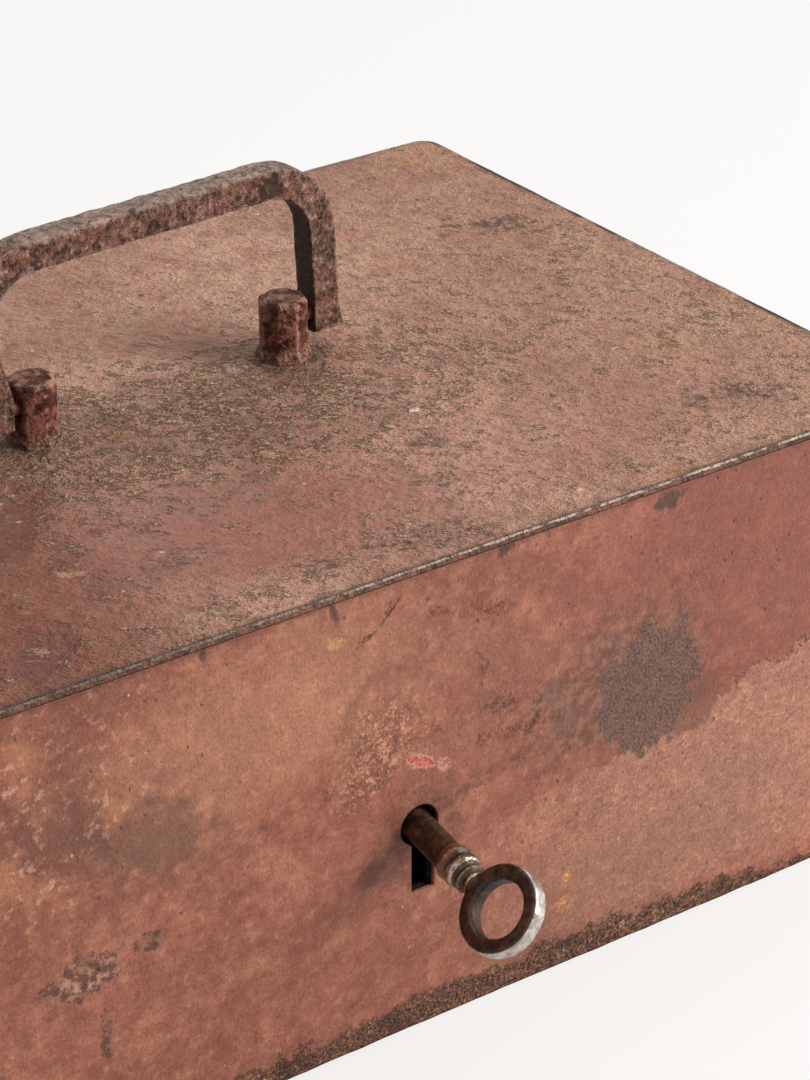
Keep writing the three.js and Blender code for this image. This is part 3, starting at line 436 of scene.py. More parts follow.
    # Fine dark pits, thicker in clusters, hairline cracks, and pale nicks
    clusters = f.fade(f.plus(clouds, f.times(broad, 0.6)), 0.74, 0.92)
    pitted_line = f.times(
        f.on_front(14, 59.5, 17, 1.8, 14, soft=0.6, ragged=0.8, grain=3),
        f.fade(grain, 0.5, 0.58),
    )
    pits = f.either(f.times(f.dots(3.4, 0.17, 0.45, seed=3), clusters), f.times(pitted_line, 0.9))
    lip = f.times(
        f.fade(f.math("ABSOLUTE", border), 0.7, 0.15),
        f.fade(f.x, 84, 96),
        f.fade(f.fray(6), -0.3, 0.2),
        right,
    )
    hairline = f.either(
        f.on_front(-9, 110.7, 4.2, 0.3, 45, soft=0.5, ragged=0.4, grain=3),
        f.on_front(-13.6, 107, 2.4, 0.3, 25, soft=0.5, ragged=0.4, grain=3),
    )
    crack = f.either(hairline, lip)
    nicks = f.times(f.dots(7, 0.06, 0.25, seed=5), 0.7)
    colour = f.layers(
        colour,
        (f.times(pits, 0.45), "5a3328"),
        (f.times(crack, 0.4), "472b23"),
        (nicks, "dcbfa4"),
    )
    # Rusty foot, a darkened bottom edge, painted shade under the lid along the top edge with dark
    # grime marks near it, and painted shade inside the keyhole
    foot_height = f.plus(
        f.times(f.on_front(18, 0, 45, 60, soft=0.8), 2.4),
        f.fade(f.x, 90, 106, 5.6, 3.4),
        f.times(f.fray(12), 2.2),
        f.times(f.fray(3), 1.3),
    )
    foot_fade = f.fade(f.math("SUBTRACT", foot_height, f.z), -2.6, 3.4)
    foot = f.crumbled(foot_fade, f.plus(f.times(grain, 0.6), f.times(fleck, 0.4)), 2.6)
    rust = f.mix(f.fade(grain, 0.4, 0.6), "30211a", "7a5643")
    rust = f.layers(
        rust,
        (f.times(f.fade(fleck, 0.52, 0.62), 0.4), "8a6547"),
        (f.times(f.fade(clouds, 0.48, 0.36), 0.6), "2b1c15"),
        (f.times(f.fade(f.plus(grain, f.times(fleck, 0.4)), 0.84, 0.92), 0.7), "c6a68b"),
    )
    # Painted shade along the wall's top edge under the lid, and dark grime marks near the top
    top_shade_height = f.plus(f.z, f.times(f.fray(6), 0.8))
    grime_and_top_shade = f.either(
        f.times(f.fade(top_shade_height, wall_high.z - 0.7, wall_high.z + 0.5), 0.4),
        f.on_front(69, 115, 4, 2.6, soft=0.4, ragged=0.6, grain=3),
        f.on_front(22, 117, 2.5, 1.6, soft=0.4, ragged=0.6, grain=3),
        f.on_front(-56, 117, 0.7, 3, soft=0.5, ragged=0.5, grain=3),
        f.on_front(-23, 115.5, 0.9, 3.4, 20, soft=0.5, ragged=0.5, grain=3),
    )
    # Painted shade: the keyhole's inner faces are painted near black, and rough
    keyhole_shade = f.times(
        f.fade(f.y, FRONT + 0.8, FRONT + 1.2),
        f.patch((KEYHOLE[0], FRONT, KEYHOLE_MIDDLE), (9, 9, 16), soft=0.02, ragged=0.0),
    )
    colour = f.layers(
        colour,
        (f.times(foot_fade, 0.35), "5d4034"),
        (f.times(foot, 0.92), rust),
        (f.times(grime_and_top_shade, 0.75), "3a2a22"),
        (f.fade(f.z, 0.9, 0.3), "2b1f1a"),
        (keyhole_shade, "0b0807"),
    )
    colour = f.shaded(colour, (grain, 0.95), (fleck, 0.45), (strokes, 0.12))
    raw = f.either(core, foot, elsewhere, f.times(crusty, 0.7), f.times(hollow, 0.5))
    satin = f.fade(f.plus(clouds, f.times(grain, 0.4)), 0.5, 0.9, 0.4, 0.62)
    roughness = f.blend(f.either(raw, keyhole_shade), satin, 0.9)
    return f.finish(colour, roughness, [
        (grain, f.blend(raw, 0.2, 0.6)),
        (fleck, 0.35),
        (strokes, 0.06),
        (clouds, 0.5),
        (f.plus(pits, crack, f.times(graze, 0.6), f.times(core, 0.6)), -0.3),
        (foot, 0.3),
    ])


# The lid's browner, rougher paint, bare along its front edge and granular round the posts
def make_lid_paint():
    f = Finish("lid_paint")
    grain = f.cloud(1.1, detail=3, rough=0.78, seed=1, stretch=(1.25, 0.9, 1), turn=-36)
    crust = f.cloud(3.8, detail=4, rough=0.74, seed=2, stretch=(1.25, 0.9, 1), turn=-36)
    clouds = f.cloud(16, detail=4, rough=0.62, seed=3)
    broad = f.cloud(55, detail=2, seed=4)
    colour = f.mix(f.fade(broad, 0.4, 0.6), "cb9c83", "b5866f")
    smooth = f.either(
        f.on_top(-28, -60, 58, 27, -8, soft=0.5, ragged=0.35, grain=12),
        f.times(f.on_top(70, -66, 50, 22, 5, soft=0.5, ragged=0.4, grain=12), 0.42),
    )
    far_left = f.times(f.fade(f.x, -38, -82), f.fade(f.y, 45, -20))
    deep_red = f.either(
        f.on_top(-66, -33, 24, 10, 35, soft=0.5, ragged=0.4),
        f.times(far_left, f.fade(clouds, 0.48, 0.6)),
    )
    near_posts = f.either(
        f.on_top(-2, -22, 64, 25, 4, soft=0.8, ragged=0.5, grain=12),
        f.on_top(0, -2, 60, 20, 3, soft=0.6, ragged=0.4, grain=12),
    )
    colour = f.layers(
        colour,
        (f.times(f.fade(clouds, 0.5, 0.66), 0.5), "cfa58c"),
        (f.times(f.fade(clouds, 0.49, 0.36), 0.5), "976a55"),
        (f.times(f.fade(f.fray(12), 0.0, 0.7), 0.35), "b26d5b"),
        (f.times(f.fade(f.fray(6), -0.1, -0.7), 0.4), "86604c"),
        (f.times(f.fade(f.x, 50, 115), 0.35), "93694f"),
        (f.times(smooth, 0.8), "93503c"),
        (f.times(far_left, 0.75), "78371c"),
        (f.times(deep_red, 0.75), "62200a"),
        (f.times(near_posts, f.fade(clouds, 0.62, 0.42), 0.5), "8a6551"),
        (f.times(f.fade(crust, 0.54, 0.66), 0.35), "d3ac92"),
        (f.times(f.fade(crust, 0.46, 0.34), 0.35), "7d5544"),
    )
    # Crumbs of rust, thick round the posts and thinner elsewhere, in tan, ochre, dark and cream;
    # the cream grains are partly painted highlights
    density = f.plus(
        f.times(near_posts, 0.075),
        f.times(smooth, -0.03),
        f.times(f.plus(clouds, -0.5), 0.25),
        f.fade(f.y, 10, 50, -0.005, -0.05),
    )
    thick = f.plus(f.times(crust, 0.68), f.times(grain, 0.32), density)
    rough_zone = f.times(f.fade(thick, 0.545, 0.6), f.fade(deep_red, 1.0, 0.4, 0.3, 1.0))
    rust = f.mix(f.fade(crust, 0.46, 0.66), "5a3b2c", "9d7861")
    rust = f.layers(
        rust,
        (f.times(f.fade(clouds, 0.5, 0.6), 0.4), "9a7048"),
        # Cream grains, partly rust flakes and partly painted highlights
        (f.times(f.fade(grain, 0.55, 0.63), 0.8), "d9bb9c"),
        (f.times(f.fade(grain, 0.48, 0.42), 0.75), "352218"),
    )
    colour = f.mix(f.times(rough_zone, 0.85), colour, rust)
    # Pits everywhere, dark stains near the front edge, orange rust, a dark ring of grime and
    # painted contact shade round each post's foot, and pale specks
    pits = f.times(f.dots(3.2, 0.22, 0.4, seed=3), f.fade(clouds, 0.44, 0.6))
    stains = f.either(
        f.on_top(12, -90, 10, 5.5, -20, soft=0.5, ragged=0.7, grain=3),
        f.on_top(-17.5, -87, 5, 3.5, soft=0.5, ragged=0.8, grain=3),
        f.on_top(-45.5, -90.6, 4.5, 3, soft=0.5, ragged=0.8, grain=3),
        f.on_top(-0.7, -86.4, 6, 3, -30, soft=0.5, ragged=0.8, grain=3),
        f.on_top(28, -69, 6, 3, -20, soft=0.5, ragged=0.8, grain=3),
        f.on_top(-40, -66, 7, 5, soft=0.6, ragged=0.8, grain=3),
        f.on_top(36, -52, 5, 3.5, soft=0.5, ragged=0.8, grain=3),
        f.on_top(112, -74, 12, 7, -20, soft=0.6, ragged=0.8),
        f.on_top(126, 40, 12, 6, -30, soft=0.6, ragged=0.9),
    )
    orange = f.either(
        f.on_top(141, 92, 17, 9, soft=0.6, ragged=0.5),
        f.on_top(113, -44, 8, 6, soft=0.6, ragged=0.6),
        f.on_top(70, -98, 7, 3, soft=0.4, ragged=0.6, grain=3),
        f.on_top(52, -3, 6, 4, soft=0.6, ragged=0.6, grain=3),
        f.on_top(-18, -8, 7, 5, soft=0.7, ragged=0.6, grain=3),
        f.on_top(27, -33, 2.6, 1.8, soft=0.5, ragged=0.7, grain=3),
    )
    specks = f.dots(6, 0.12, 0.35, seed=7)
    # Round each post's foot a dark ring, grime and painted contact shade
    grime_and_shade_round_posts = f.either(*(
        f.on_top(x / MM, y / MM, 9, 9, soft=0.45, ragged=0.4, grain=3) for x, y in post_places
    ))
    stained = f.times(
        stains,
        f.fade(f.plus(f.times(crust, 0.5), f.times(grain, 0.5)), 0.53, 0.47),
    )
    pale_scrape = f.on_top(-63, -58.5, 3.4, 1.2, -30, soft=0.5, ragged=0.8, grain=3)
    white_fleck = f.on_top(44, -36.5, 1.1, 1.0, soft=0.3, ragged=0.4, grain=3)
    colour = f.layers(
        colour,
        (f.times(stained, 0.8), "432a1f"),
        (f.times(orange, f.fade(crust, 0.44, 0.58), 0.7), "b07b50"),
        (f.times(pits, 0.6), "45302a"),
        (f.times(grime_and_shade_round_posts, 0.5), f.mix(f.fade(grain, 0.42, 0.58), "33241b", "8a705c")),
        (f.times(specks, 0.75), "e0c7ad"),
        (f.times(pale_scrape, 0.7), "c9966f"),
        (f.times(white_fleck, 0.9), "f0dcc4"),
    )
    # Rim: a dark olive fringe, a bright bare line on the arris, and on the edge face paint darkened
    # into painted shade under the arris
    inside = f.plus(inset(f), f.times(f.fray(3), 0.22))
    front = f.fade(f.y, FRONT + 12, FRONT + 4, 0.3, 1.0)
    fringe = f.times(
        f.fade(f.plus(inside, f.times(f.fray(6), 1.2)), 3.0, 0.8),
        f.fade(clouds, 0.6, 0.42, 0.2, 0.8),
    )
    height = f.plus(f.z, f.times(f.fray(3), 0.15))
    arris = f.times(f.fade(inside, 0.65, 0.4), f.fade(height, TOP - 1.0, TOP - 0.75), front)
    # The edge face gets darker paint: painted shade under the arris
    side = f.times(f.fade(inset(f), 0.75, 0.4), f.fade(f.z, TOP - 0.5, TOP - 0.8))
    iron = f.mix(f.fade(crust, 0.4, 0.6), "81736a", "cdbcaa")
    iron = f.mix(f.fade(f.x, 20, -100, 0.0, 0.8), iron, "73675f")
    shows = f.times(
        arris,
        f.fade(f.plus(crust, f.times(f.fray(3), 0.08)), 0.4, 0.5),
        f.fade(f.x, -40, 30, 0.6, 1.0),
    )
    colour = f.layers(
        colour,
        (f.times(fringe, 0.6), "57463a"),
        (f.times(side, 0.9), f.mix(f.fade(f.fray(6), -0.4, 0.5), "573629", "804f3f")),
        (f.times(arris, 0.8), "5c4c40"),
        (shows, iron),
    )
    colour = f.shaded(colour, (grain, 0.6), (crust, 0.4))
    gloss = f.either(smooth, deep_red)
    roughness = f.blend(rough_zone, f.blend(gloss, 0.6, 0.38), 0.85)
    roughness = f.blend(shows, roughness, 0.5)
    return f.finish(colour, roughness, [
        (grain, f.blend(rough_zone, 0.12, 0.8)),
        (crust, f.blend(gloss, 3.0, 1.4)),
        (rough_zone, 0.5),
        (clouds, 1.2),
        (pits, -0.35),
    ], metallic=f.times(shows, 0.3))


# Heavily pitted forged iron of the handle
def make_forged_iron():
    f = Finish("forged_iron")
    edge = f.near_edge()
    grain = f.cloud(0.8, detail=2, rough=0.75, seed=1)
    scale = f.cloud(2.4, detail=5, rough=0.84, seed=2)
    clouds = f.cloud(7, detail=3, rough=0.65, seed=3)
    colour = f.mix(f.fade(scale, 0.42, 0.58), "664639", "b7846f")
    # Painted light: the bail's top face is painted paler, as light falls on it from above
    top_painted_light = f.mix(f.fade(scale, 0.4, 0.6), "a38472", "d6b8a6")
    burn = f.patch((30, 0, TOP + 45), (3.2, 20, 3.6), soft=0.15, ragged=0.5, grain=3)
    colour = f.layers(
        colour,
        (f.times(f.fade(clouds, 0.5, 0.62), 0.5), "955a49"),
        (f.times(f.fade(clouds, 0.47, 0.34), 0.55), "6d564a"),
        (f.times(f.fade(f.plus(clouds, f.times(scale, 0.5)), 0.86, 0.96), 0.5), "a96f45"),
        (f.times(f.fade(f.z, TOP + 48.8, TOP + 50), 0.7), top_painted_light),
        # Pale flecks on the scale are painted highlights
        (f.times(f.fade(scale, 0.56, 0.64), 0.7), "e2cabb"),
        (f.times(f.fade(scale, 0.455, 0.4), 0.75), "21140f"),
        (f.times(burn, 0.75), "2a1c17"),
    )
    # Painted shade: the legs' inner sides, facing each other, are painted near black
    facing = f.axes(f.node("ShaderNodeTexCoord").outputs["Normal"])[0]
    inner = f.times(
        f.fade(f.times(facing, f.math("SIGN", f.x)), -0.5, -0.85),
        f.fade(f.z, TOP + 44, TOP + 38),
    )
    holes = f.either(f.dots(2.3, 0.36, 0.22, seed=1), f.times(f.dots(5, 0.3, 0.3, seed=2), 0.9))
    rubbed = f.times(f.fade(edge, 0.75, 0.1), f.fade(scale, 0.46, 0.56))
    colour = f.layers(
        colour,
        (f.times(holes, 0.7), "241510"),
        (f.times(rubbed, 0.5), "c4ab9c"),
        (f.times(inner, 0.75), "1d120e"),
    )
    colour = f.shaded(colour, (grain, 1.5), (clouds, 0.5))
    roughness = f.blend(rubbed, f.fade(scale, 0.3, 0.7, 0.42, 0.7), 0.4)
    return f.finish(colour, roughness, [
        (grain, 0.5),
        (scale, 3.4),
        (holes, -0.5),
    ], metallic=f.times(rubbed, 0.35), specular=0.35)


# Maroon paint and rust on the posts
def make_post_iron():
    f = Finish("post_iron")
    edge = f.near_edge()
    grain = f.cloud(0.8, detail=2, rough=0.75, seed=1)
    scale = f.cloud(3, detail=4, rough=0.68, seed=2)
    colour = f.mix(f.fade(scale, 0.42, 0.58), "4d271e", "8c5746")
    low = f.plus(f.fade(f.z, TOP + 5.5, TOP + 0.5), f.times(f.fray(3), 0.25))
    top = f.fade(f.z, TOP + 14.4, TOP + 15.0)
    foot = f.fade(low, 0.35, 0.7)
    colour = f.layers(
        colour,
        (f.times(f.fade(scale, 0.58, 0.68), 0.6), "a06a58"),
        (f.times(f.fade(scale, 0.42, 0.32), 0.5), "341c16"),
        (f.times(foot, 0.85), f.mix(f.fade(grain, 0.42, 0.6), "463024", "946b55")),
        (f.times(top, 0.85), f.mix(f.fade(scale, 0.42, 0.6), "553629", "957060")),
    )
    rubbed = f.times(f.fade(edge, 0.7, 0.1), f.fade(scale, 0.42, 0.56))
    holes = f.dots(2.2, 0.4, 0.35, seed=1)
    colour = f.layers(colour, (f.times(holes, 0.6), "24120d"), (f.times(rubbed, 0.6), "b8917e"))
    colour = f.shaded(colour, (grain, 0.9), (scale, 0.4))
    roughness = f.blend(top, f.fade(scale, 0.3, 0.7, 0.3, 0.6), 0.85)
    return f.finish(colour, roughness, [
        (grain, 0.2),
        (scale, 1.0),
        (holes, -0.3),
    ], metallic=f.times(rubbed, 0.3), specular=0.18)


# The key's brown skin, worn to bright steel where fingers rub it
def make_key_iron():
    f = Finish("key_iron")
    edge = f.near_edge()
    out = f.math("SUBTRACT", FRONT, f.y)
    grain = f.cloud(0.6, detail=2, rough=0.7, seed=1)
    scale = f.cloud(2.4, detail=4, rough=0.68, seed=2)
    colour = f.mix(f.fade(scale, 0.42, 0.58), "241508", "4c2f1b")
    colour = f.layers(
        colour,
        (f.times(f.fade(scale, 0.56, 0.66), 0.4), "6c4f38"),
        (f.times(f.fade(scale, 0.42, 0.34), 0.6), "17100c"),
    )
    collar = f.times(f.fade(out, 12.4, 12.8), f.fade(out, 15.6, 15.2))
    rubbed = f.times(f.fade(edge, 0.75, 0.1), f.fade(scale, 0.24, 0.34))
    steel = f.mix(f.fade(scale, 0.36, 0.64), "a0948a", "dcd5cb")
    steel = f.mix(f.fade(out, 30, 27), steel, f.mix(f.fade(scale, 0.4, 0.6), "6d5a4b", "b3a596"))
    colour = f.layers(colour, (f.times(collar, 0.6), "8a5238"), (f.times(rubbed, 0.95), steel))
    colour = f.shaded(colour, (grain, 0.5))
    roughness = f.blend(rubbed, f.fade(scale, 0.3, 0.7, 0.34, 0.5), 0.28)
    return f.finish(colour, roughness, [
        (grain, 0.04),
        (scale, 0.3),
    ], metallic=f.plus(0.3, f.times(rubbed, 0.6)), specular=0.5)


# Iron with a given skin colour, speckled with rust and rubbed on its edges
def make_iron(name, dark, light, rust, rubbed_colour, metallic, shine):
    f = Finish(name)
    edge = f.near_edge()
    grain = f.cloud(1.2, detail=3, rough=0.75, seed=3)
    scale = f.cloud(6, detail=3, rough=0.65, seed=2)
    colour = f.mix(f.blotch(14, 0.38, 0.62, detail=3, seed=1), dark, light)
    rusty = f.crumbled(f.fade(scale, 0.48, 0.62), grain, 1.2)
    rubbed = f.times(f.fade(edge, 0.8, 0.1), f.fade(grain, 0.42, 0.58))
    # What shows through the keyhole gets painted shade, near black, as it lies in the dark
    behind = (KEYHOLE[0], FRONT + 8, KEYHOLE_MIDDLE)
    shade_behind_keyhole = f.patch(behind, (10, 9, 18), soft=0.1, ragged=0.1)
    colour = f.layers(
        colour,
        (f.times(rusty, 0.7), f.mix(f.fade(grain, 0.4, 0.6), rust, light)),
        (f.times(rubbed, 0.7), rubbed_colour),
        (shade_behind_keyhole, "0c0908"),
    )
    colour = f.shaded(colour, (grain, 0.6))
    sheen = f.fade(scale, 0.3, 0.7, shine - 0.06, shine + 0.1)
    roughness = f.blend(f.either(rusty, shade_behind_keyhole), sheen, 0.85)
    return f.finish(colour, roughness, [
        (scale, 0.4),
        (grain, f.blend(rusty, 0.1, 0.4)),
    ], metallic=f.times(metallic, f.math("SUBTRACT", 1.0, f.either(f.times(rusty, 0.8), shade_behind_keyhole))))


finishes = {
    "body_paint": make_wall_paint(),
    "lid_paint": make_lid_paint(),
    "forged_iron": make_forged_iron(),
    "post_iron": make_post_iron(),
    "inner_iron": make_iron("inner_iron", "5a463c", "7b6355", "6b402d", "a89a8e", 0.35, 0.55),
    "rivet_iron": make_iron("rivet_iron", "6b4438", "8a5e4e", "5e3a2b", "a99486", 0.3, 0.5),
    "lock_iron": make_iron("lock_iron", "4c4641", "6f6861", "6a4631", "aaa39a", 0.6, 0.45),
    "bolt_steel": make_iron("bolt_steel", "6c6862", "97938c", "7a5236", "cfcac2", 0.8, 0.36),
    "spring_steel": make_iron("spring_steel", "3d3f45", "5d6068", "6a4631", "b7b9be", 0.85, 0.3),
    "key_iron": make_key_iron(),
}


# How meshes are cleaned and softened: faces within FLAT degrees count as one face, edges over
# SHARP degrees are real ones, edges over CREASE degrees stay sharp in shading; lengths in mm
FLAT = 1
SHARP = 35
CREASE = 50
SAME_PLACE = 0.001
BEVEL = 0.25
EDGE_SPACING = 0.35


# A copy of a node's solid with its flat faces whole again
def solid_of(node):
    bm = bmesh.new()
    bm.from_mesh(frame["nodes"][node].data)
    bmesh.ops.remove_doubles(bm, verts=bm.verts, dist=SAME_PLACE * MM)
    bmesh.ops.dissolve_limit(bm, angle_limit=math.radians(FLAT), verts=bm.verts, edges=bm.edges)
    bm.normal_update()
    return bm


def sharp_edges(bm):
    limit = math.radians(SHARP)
    return [e for e in bm.edges if len(e.link_faces) == 2 and e.calc_face_angle(0) > limit]


# Points along the outward edges, to tell later how near a place is to one
def edge_points(bm, spacing):
    places = []
    for e in sharp_edges(bm):
        if e.calc_face_angle_signed(0) <= 0:
            continue
        a, b = (v.co.copy() for v in e.verts)
        count = max(1, math.ceil((b - a).length / spacing))
        places.extend(a.lerp(b, i / count) for i in range(count + 1))
    tree = KDTree(len(places))
    for i, place in enumerate(places):
        tree.insert(place, i)
    tree.balance()
    return tree


# Cuts the faces into cells of about the given size
def slice_up(bm, cell):
    for axis in range(3):
        values = [v.co[axis] for v in bm.verts]
        low, high = min(values), max(values)
        count = math.floor((high - low) / cell)
        direction = Vector((axis == 0, axis == 1, axis == 2))
        for i in range(1, count + 1):
            cut = low + (high - low) * i / (count + 1)
            whole = bm.verts[:] + bm.edges[:] + bm.faces[:]
            bmesh.ops.bisect_plane(
                bm, geom=whole, plane_co=direction * cut, plane_no=direction, dist=1e-7,
            )


# The solid as an even grid of small faces, with its corners softened
def remeshed(bm, voxel, rounds):
    mesh = bpy.data.meshes.new("rough")
    bm.to_mesh(mesh)
    bm.free()
    obj = bpy.data.objects.new("rough", mesh)
    scene.collection.objects.link(obj)
    grid = obj.modifiers.new("grid", "REMESH")
    grid.mode = "VOXEL"
    grid.voxel_size = voxel
    soften = obj.modifiers.new("soften", "SMOOTH")
    soften.iterations = rounds
    soften.factor = 0.5
    graph = bpy.context.evaluated_depsgraph_get()
    made = bmesh.new()
    made.from_object(obj, graph)
    bpy.data.objects.remove(obj)
    made.normal_update()
    return made


# Uneven height, from -1 to 1, with bumps about the given size in millimetres
def uneven(place, size, octaves=3, seed=0.0):
    shifted = place / (size * MM) + Vector((seed, seed * 1.7, seed * 0.6))
    return max(-1.0, min(1.0, noise.fractal(shifted, 0.9, 2.1, octaves)))


# Height from the depth, in millimetres, below the surface up to the surface
def sunk(place, size, depth, **settings):
    return -depth * MM * (0.5 - 0.5 * uneven(place, size, **settings))


# 0 at the start to 1 at the end, and held beyond them
def ramp(value, start, end):
    return max(0.0, min(1.0, (value - start) / (end - start)))


# Edges are nibbled from this near to them, in metres, and fully at the second distance
NIBBLE_START = 0.9 * MM
NIBBLE_FULL = 0.4 * MM
# Round the keyhole the sheet's edges stay as they are, and round a post the lid swells with rust
KEYHOLE_REACH = 22 * MM
SWELL_START = 13 * MM
SWELL_FULL = 6.5 * MM


# Each relief gives how far a vertex moves along its normal, from its place, its normal and its
# distance to an outward edge, all in metres
def wall_relief(place, normal, edge):
    if normal.z > 0.7:
        return 0.06 * MM * ramp(normal.z, 0.9, 1.0)
    from_keyhole = math.hypot(place.x - KEYHOLE[0] * MM, place.z - KEYHOLE[1] * MM)
    if from_keyhole < KEYHOLE_REACH and edge < NIBBLE_START:
        return 0.0
    nibble = sunk(place, 7, 0.35, octaves=4, seed=3) * ramp(edge, NIBBLE_START, NIBBLE_FULL)
    return sunk(place, 85, 0.5, octaves=2, seed=1) + sunk(place, 12, 0.1, seed=2) + nibble


def lid_relief(place, normal, edge):
    if normal.z < -0.5:
        return 0.12 * MM * ramp(-normal.z, 0.9, 1.0)
    if normal.z < 0.5:
        return sunk(place, 6, 0.2, octaves=4, seed=6)
    away = min(math.hypot(place.x - x, place.y - y) for x, y in post_places)
    near = ramp(away, SWELL_START, SWELL_FULL)
    level = sunk(place, 70, 0.45, octaves=2, seed=5) + sunk(place, 9, 0.16, seed=7)
    ring = near * near * 0.6 * MM * (0.3 + 0.7 * uneven(place, 3.2, octaves=4, seed=4))
    from_middle = math.hypot(place.x / 0.075, (place.y + 0.01) / 0.03)
    patchy = 0.16 * MM * ramp(from_middle, 1.0, 0.5) * uneven(place, 4, octaves=4, seed=8)
    nibble = sunk(place, 5, 0.25, octaves=4, seed=6) * ramp(edge, NIBBLE_START, NIBBLE_FULL)
    return level * (1 - near) + ring + patchy + nibble


def bail_relief(place, normal, edge):
    hammered = sunk(place, 12, 0.3, octaves=2, seed=1)
    pitted = sunk(place, 2.2, 0.3, octaves=2, seed=2)
    chipped = sunk(place, 2.6, 0.25, octaves=2, seed=3) * ramp(edge, 0.8 * MM, 0)
    return hammered + pitted + chipped + 0.04 * MM


def post_relief(place, normal, edge):
    chipped = sunk(place, 2.8, 0.4, octaves=3, seed=3) * ramp(edge, 1.2 * MM, 0)
    return 0.18 * MM * uneven(place, 4, octaves=3, seed=4) + chipped


def key_relief(place, normal, edge):
    return sunk(place, 5, 0.1, octaves=2, seed=8)


def iron_relief(place, normal, edge):
    return sunk(place, 14, 0.1, octaves=3, seed=9)


def rivet_relief(place, normal, edge):
    return sunk(place, 2.5, 0.16, octaves=3, seed=10)


# The feet of the bail's legs, beaten a little wider outwards
LEG_WIDTH = 8 * MM
FLARE = 1.9 * MM
FLARE_HEIGHT = 9 * MM


def flare_legs(bm):
    low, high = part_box("handle_bail")
    for v in bm.verts:
        foot = ramp(v.co.z, low.z + FLARE_HEIGHT, low.z)
        out = ramp(abs(v.co.x), high.x - LEG_WIDTH, high.x)
        v.co.x += math.copysign(FLARE * foot ** 2 * out, v.co.x)


# A post's foot, let down into the rust on the lid
FOOT_DEPTH = 0.8 * MM


def sink_foot(bm):
    for v in bm.verts:
        v.co.z -= FOOT_DEPTH * ramp(v.co.z, (TOP + 1.2) * MM, (TOP + 0.4) * MM)


# The key as it hangs in the photograph: its pivot, its lean, droop and turn in degrees, and
# how far out its bow starts and has its middle
KEY_PIVOT = Vector((-0.5, -93, 55)) * MM
KEY_LEAN, KEY_DROOP, KEY_TURN = (math.radians(angle) for angle in (-3.2, 6.8, 41.3))
KEY_AXES = Matrix.Rotation(KEY_LEAN, 3, "Z") @ Matrix.Rotation(KEY_DROOP, 3, "X")
KEY_AXES = KEY_AXES @ Matrix.Rotation(KEY_TURN, 3, "Y")
BOW_START = 29.5
BOW_MIDDLE = 40.3
# Rings that stand out on the shank: how far out each starts and ends, the radius it is worn
# beyond, and its wear
WORN_RINGS = ((20.9, 22.1, 4.35, 0.42), (23.3, 26.1, 3.6, 0.15), (27.1, 28.5, 3.5, 0.4))
UNWORN = 3.0


# How worn the key is: 0 where it is bright, on the bow's rim, and UNWORN where it is brown
def key_wear(place):
    local = KEY_AXES.transposed() @ (place - KEY_PIVOT) / MM
    out = -local.y
    if out > BOW_START:
        return UNWORN * ramp(math.hypot(out - BOW_MIDDLE, local.z), 10.3, 9.2)
    around = math.hypot(local.x, local.z)
    for start, end, radius, worn in WORN_RINGS:
        if start < out < end and around > radius:
            return worn
    return UNWORN


# How the mesh of each kind of node is refined: the way, the cell or voxel in millimetres, the
# rounds of smoothing, and the relief. A node is of the first kind that its name starts with
KINDS = {
    "body_wall": ("slice", 2.2, 0, wall_relief),
    "lid_plate": ("slice", 1.8, 0, lid_relief),
    "bottom_pan": ("slice", 8.0, 0, iron_relief),
    "handle_bail": ("grid", 0.4, 1, bail_relief),
    "handle_post": ("grid", 0.35, 2, post_relief),
    "key": ("grid", 0.3, 4, key_relief),
    "hinge_pin": ("grid", 0.35, 2, rivet_relief),
    "handle_pin": ("grid", 0.4, 2, rivet_relief),
    "seam_rivet": ("grid", 0.35, 2, rivet_relief),
    "hinge_back_rivet": ("grid", 0.35, 2, rivet_relief),
    "hinge_lid_rivet": ("grid", 0.35, 2, rivet_relief),
    "staple_rivet": ("grid", 0.35, 2, rivet_relief),
    "lock_screw": ("grid", 0.35, 2, rivet_relief),
    "hinge": ("slice", 3.0, 0, iron_relief),
}
PLAIN = ("slice", 6.0, 0, iron_relief)
SHAPERS = {
    "handle_bail": flare_legs,
    "handle_post_left": sink_foot,
    "handle_post_right": sink_foot,
}


def kind_of(node):
    return next((KINDS[start] for start in KINDS if node.startswith(start)), PLAIN)


# Finer faces on the lid's top, within this reach of its middle, round the posts
FINE_REACH = Vector((58, 26)) * MM


def near_middle(face):
    middle = face.calc_center_median()
    return face.normal.z > 0.9 and abs(middle.x) < FINE_REACH.x and abs(middle.y) < FINE_REACH.y


def refine_middle(bm):
    edges = [e for e in bm.edges if any(near_middle(face) for face in e.link_faces)]
    bmesh.ops.subdivide_edges(bm, edges=edges, cuts=1, use_grid_fill=True)


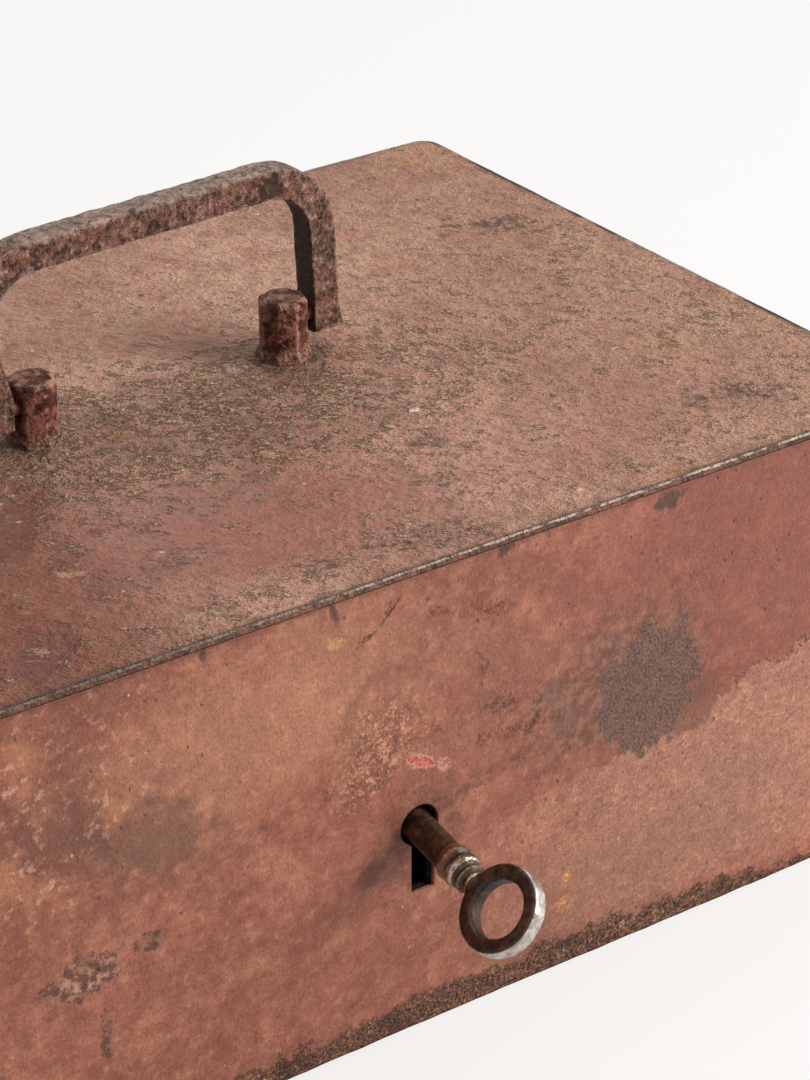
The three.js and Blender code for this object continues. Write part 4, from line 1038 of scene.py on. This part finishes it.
# Makes the worn piece that stands for a node, and lets it ride on the node's body
def dress(node, body, slot):
    how, size, rounds, relief = kind_of(node)
    bm = solid_of(node)
    rims = edge_points(bm, EDGE_SPACING * MM)
    if how == "grid":
        bm = remeshed(bm, size * MM, rounds)
    else:
        bmesh.ops.bevel(
            bm,
            geom=sharp_edges(bm),
            offset=BEVEL * MM,
            segments=2,
            profile=0.5,
            affect="EDGES",
            clamp_overlap=True,
        )
        slice_up(bm, size * MM)
        if node == "lid_plate":
            refine_middle(bm)
    if node in SHAPERS:
        SHAPERS[node](bm)
    bm.normal_update()
    near = bm.verts.layers.float.new("edge")
    moves = []
    for v in bm.verts:
        gap = rims.find(v.co)[2]
        v[near] = key_wear(v.co) if node == "key" else gap / MM
        moves.append(v.normal * relief(v.co, v.normal, gap))
    for v, move in zip(bm.verts, moves):
        v.co += move
    name = f"aged_{node}"
    mesh = bpy.data.meshes.new(name)
    bm.to_mesh(mesh)
    bm.free()
    mesh.materials.append(finishes[slot])
    mesh.shade_smooth()
    mesh.set_sharp_from_angle(angle=math.radians(CREASE))
    piece = bpy.data.objects.new(name, mesh)
    scene.collection.objects.link(piece)
    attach(piece, body)
    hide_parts(node)


# A plain pale floor, large enough that no view sees its end. The camera sees it nearly white,
# whatever light falls on it, but for the object's shadow
FLOOR_SIZE = 24
FLOOR_GLOW = 0.75


def add_floor():
    bpy.ops.mesh.primitive_plane_add(size=FLOOR_SIZE)
    floor = bpy.context.object
    floor.name = "floor"
    material = bpy.data.materials.new("floor")
    material.use_nodes = True
    tree = material.node_tree
    shader = tree.nodes["Principled BSDF"]
    shader.inputs["Base Color"].default_value = (0.86, 0.85, 0.84, 1)
    shader.inputs["Roughness"].default_value = 0.7
    glow = tree.nodes.new("ShaderNodeEmission")
    glow.inputs["Color"].default_value = (1.0, 0.985, 0.97, 1)
    path = tree.nodes.new("ShaderNodeLightPath")
    share = tree.nodes.new("ShaderNodeMath")
    share.operation = "MULTIPLY"
    share.inputs[1].default_value = FLOOR_GLOW
    tree.links.new(path.outputs["Is Camera Ray"], share.inputs[0])
    blend = tree.nodes.new("ShaderNodeMixShader")
    tree.links.new(share.outputs[0], blend.inputs[0])
    tree.links.new(shader.outputs[0], blend.inputs[1])
    tree.links.new(glow.outputs[0], blend.inputs[2])
    tree.links.new(blend.outputs[0], tree.nodes["Material Output"].inputs["Surface"])
    floor.data.materials.append(material)


# A soft square lamp; its size in metres and its energy in watts
def add_lamp(name, place, aim, size, energy):
    data = bpy.data.lights.new(name, "AREA")
    data.shape = "SQUARE"
    data.size = size
    data.energy = energy
    lamp = bpy.data.objects.new(name, data)
    lamp.location = place
    lamp.rotation_euler = (Vector(aim) - Vector(place)).to_track_quat("-Z", "Y").to_euler()
    scene.collection.objects.link(lamp)


# White where the camera or a reflection sees it, and dim as a light on the object
WORLD_DIM = 0.22
WORLD_SEEN = 1.0


def add_world():
    world = bpy.data.worlds.new("world")
    world.use_nodes = True
    tree = world.node_tree
    back = tree.nodes["Background"]
    back.inputs["Color"].default_value = (1, 1, 1, 1)
    path = tree.nodes.new("ShaderNodeLightPath")
    seen = tree.nodes.new("ShaderNodeMath")
    seen.operation = "ADD"
    seen.use_clamp = True
    tree.links.new(path.outputs["Is Camera Ray"], seen.inputs[0])
    shiny = tree.nodes.new("ShaderNodeMath")
    shiny.operation = "ADD"
    tree.links.new(path.outputs["Is Glossy Ray"], shiny.inputs[0])
    tree.links.new(path.outputs["Is Transmission Ray"], shiny.inputs[1])
    tree.links.new(shiny.outputs[0], seen.inputs[1])
    level = tree.nodes.new("ShaderNodeMapRange")
    level.inputs["To Min"].default_value = WORLD_DIM
    level.inputs["To Max"].default_value = WORLD_SEEN
    tree.links.new(seen.outputs[0], level.inputs["Value"])
    tree.links.new(level.outputs[0], back.inputs["Strength"])
    scene.world = world


add_camera()
slots = {part["node"]: part["material_slot"] for part in frame["record"]["subparts"]}
for body_name, node_names in bodies.items():
    for node_name in node_names:
        dress(node_name, body_name, slots[node_name])
add_floor()
add_lamp("right_window", (1.05, -1.0, 0.75), (0, 0, 0.06), 0.8, 26)
add_lamp("overhead", (0.5, 0.4, 1.4), (0, 0, 0.1), 0.8, 8)
add_world()
scene.view_settings.view_transform = "Standard"
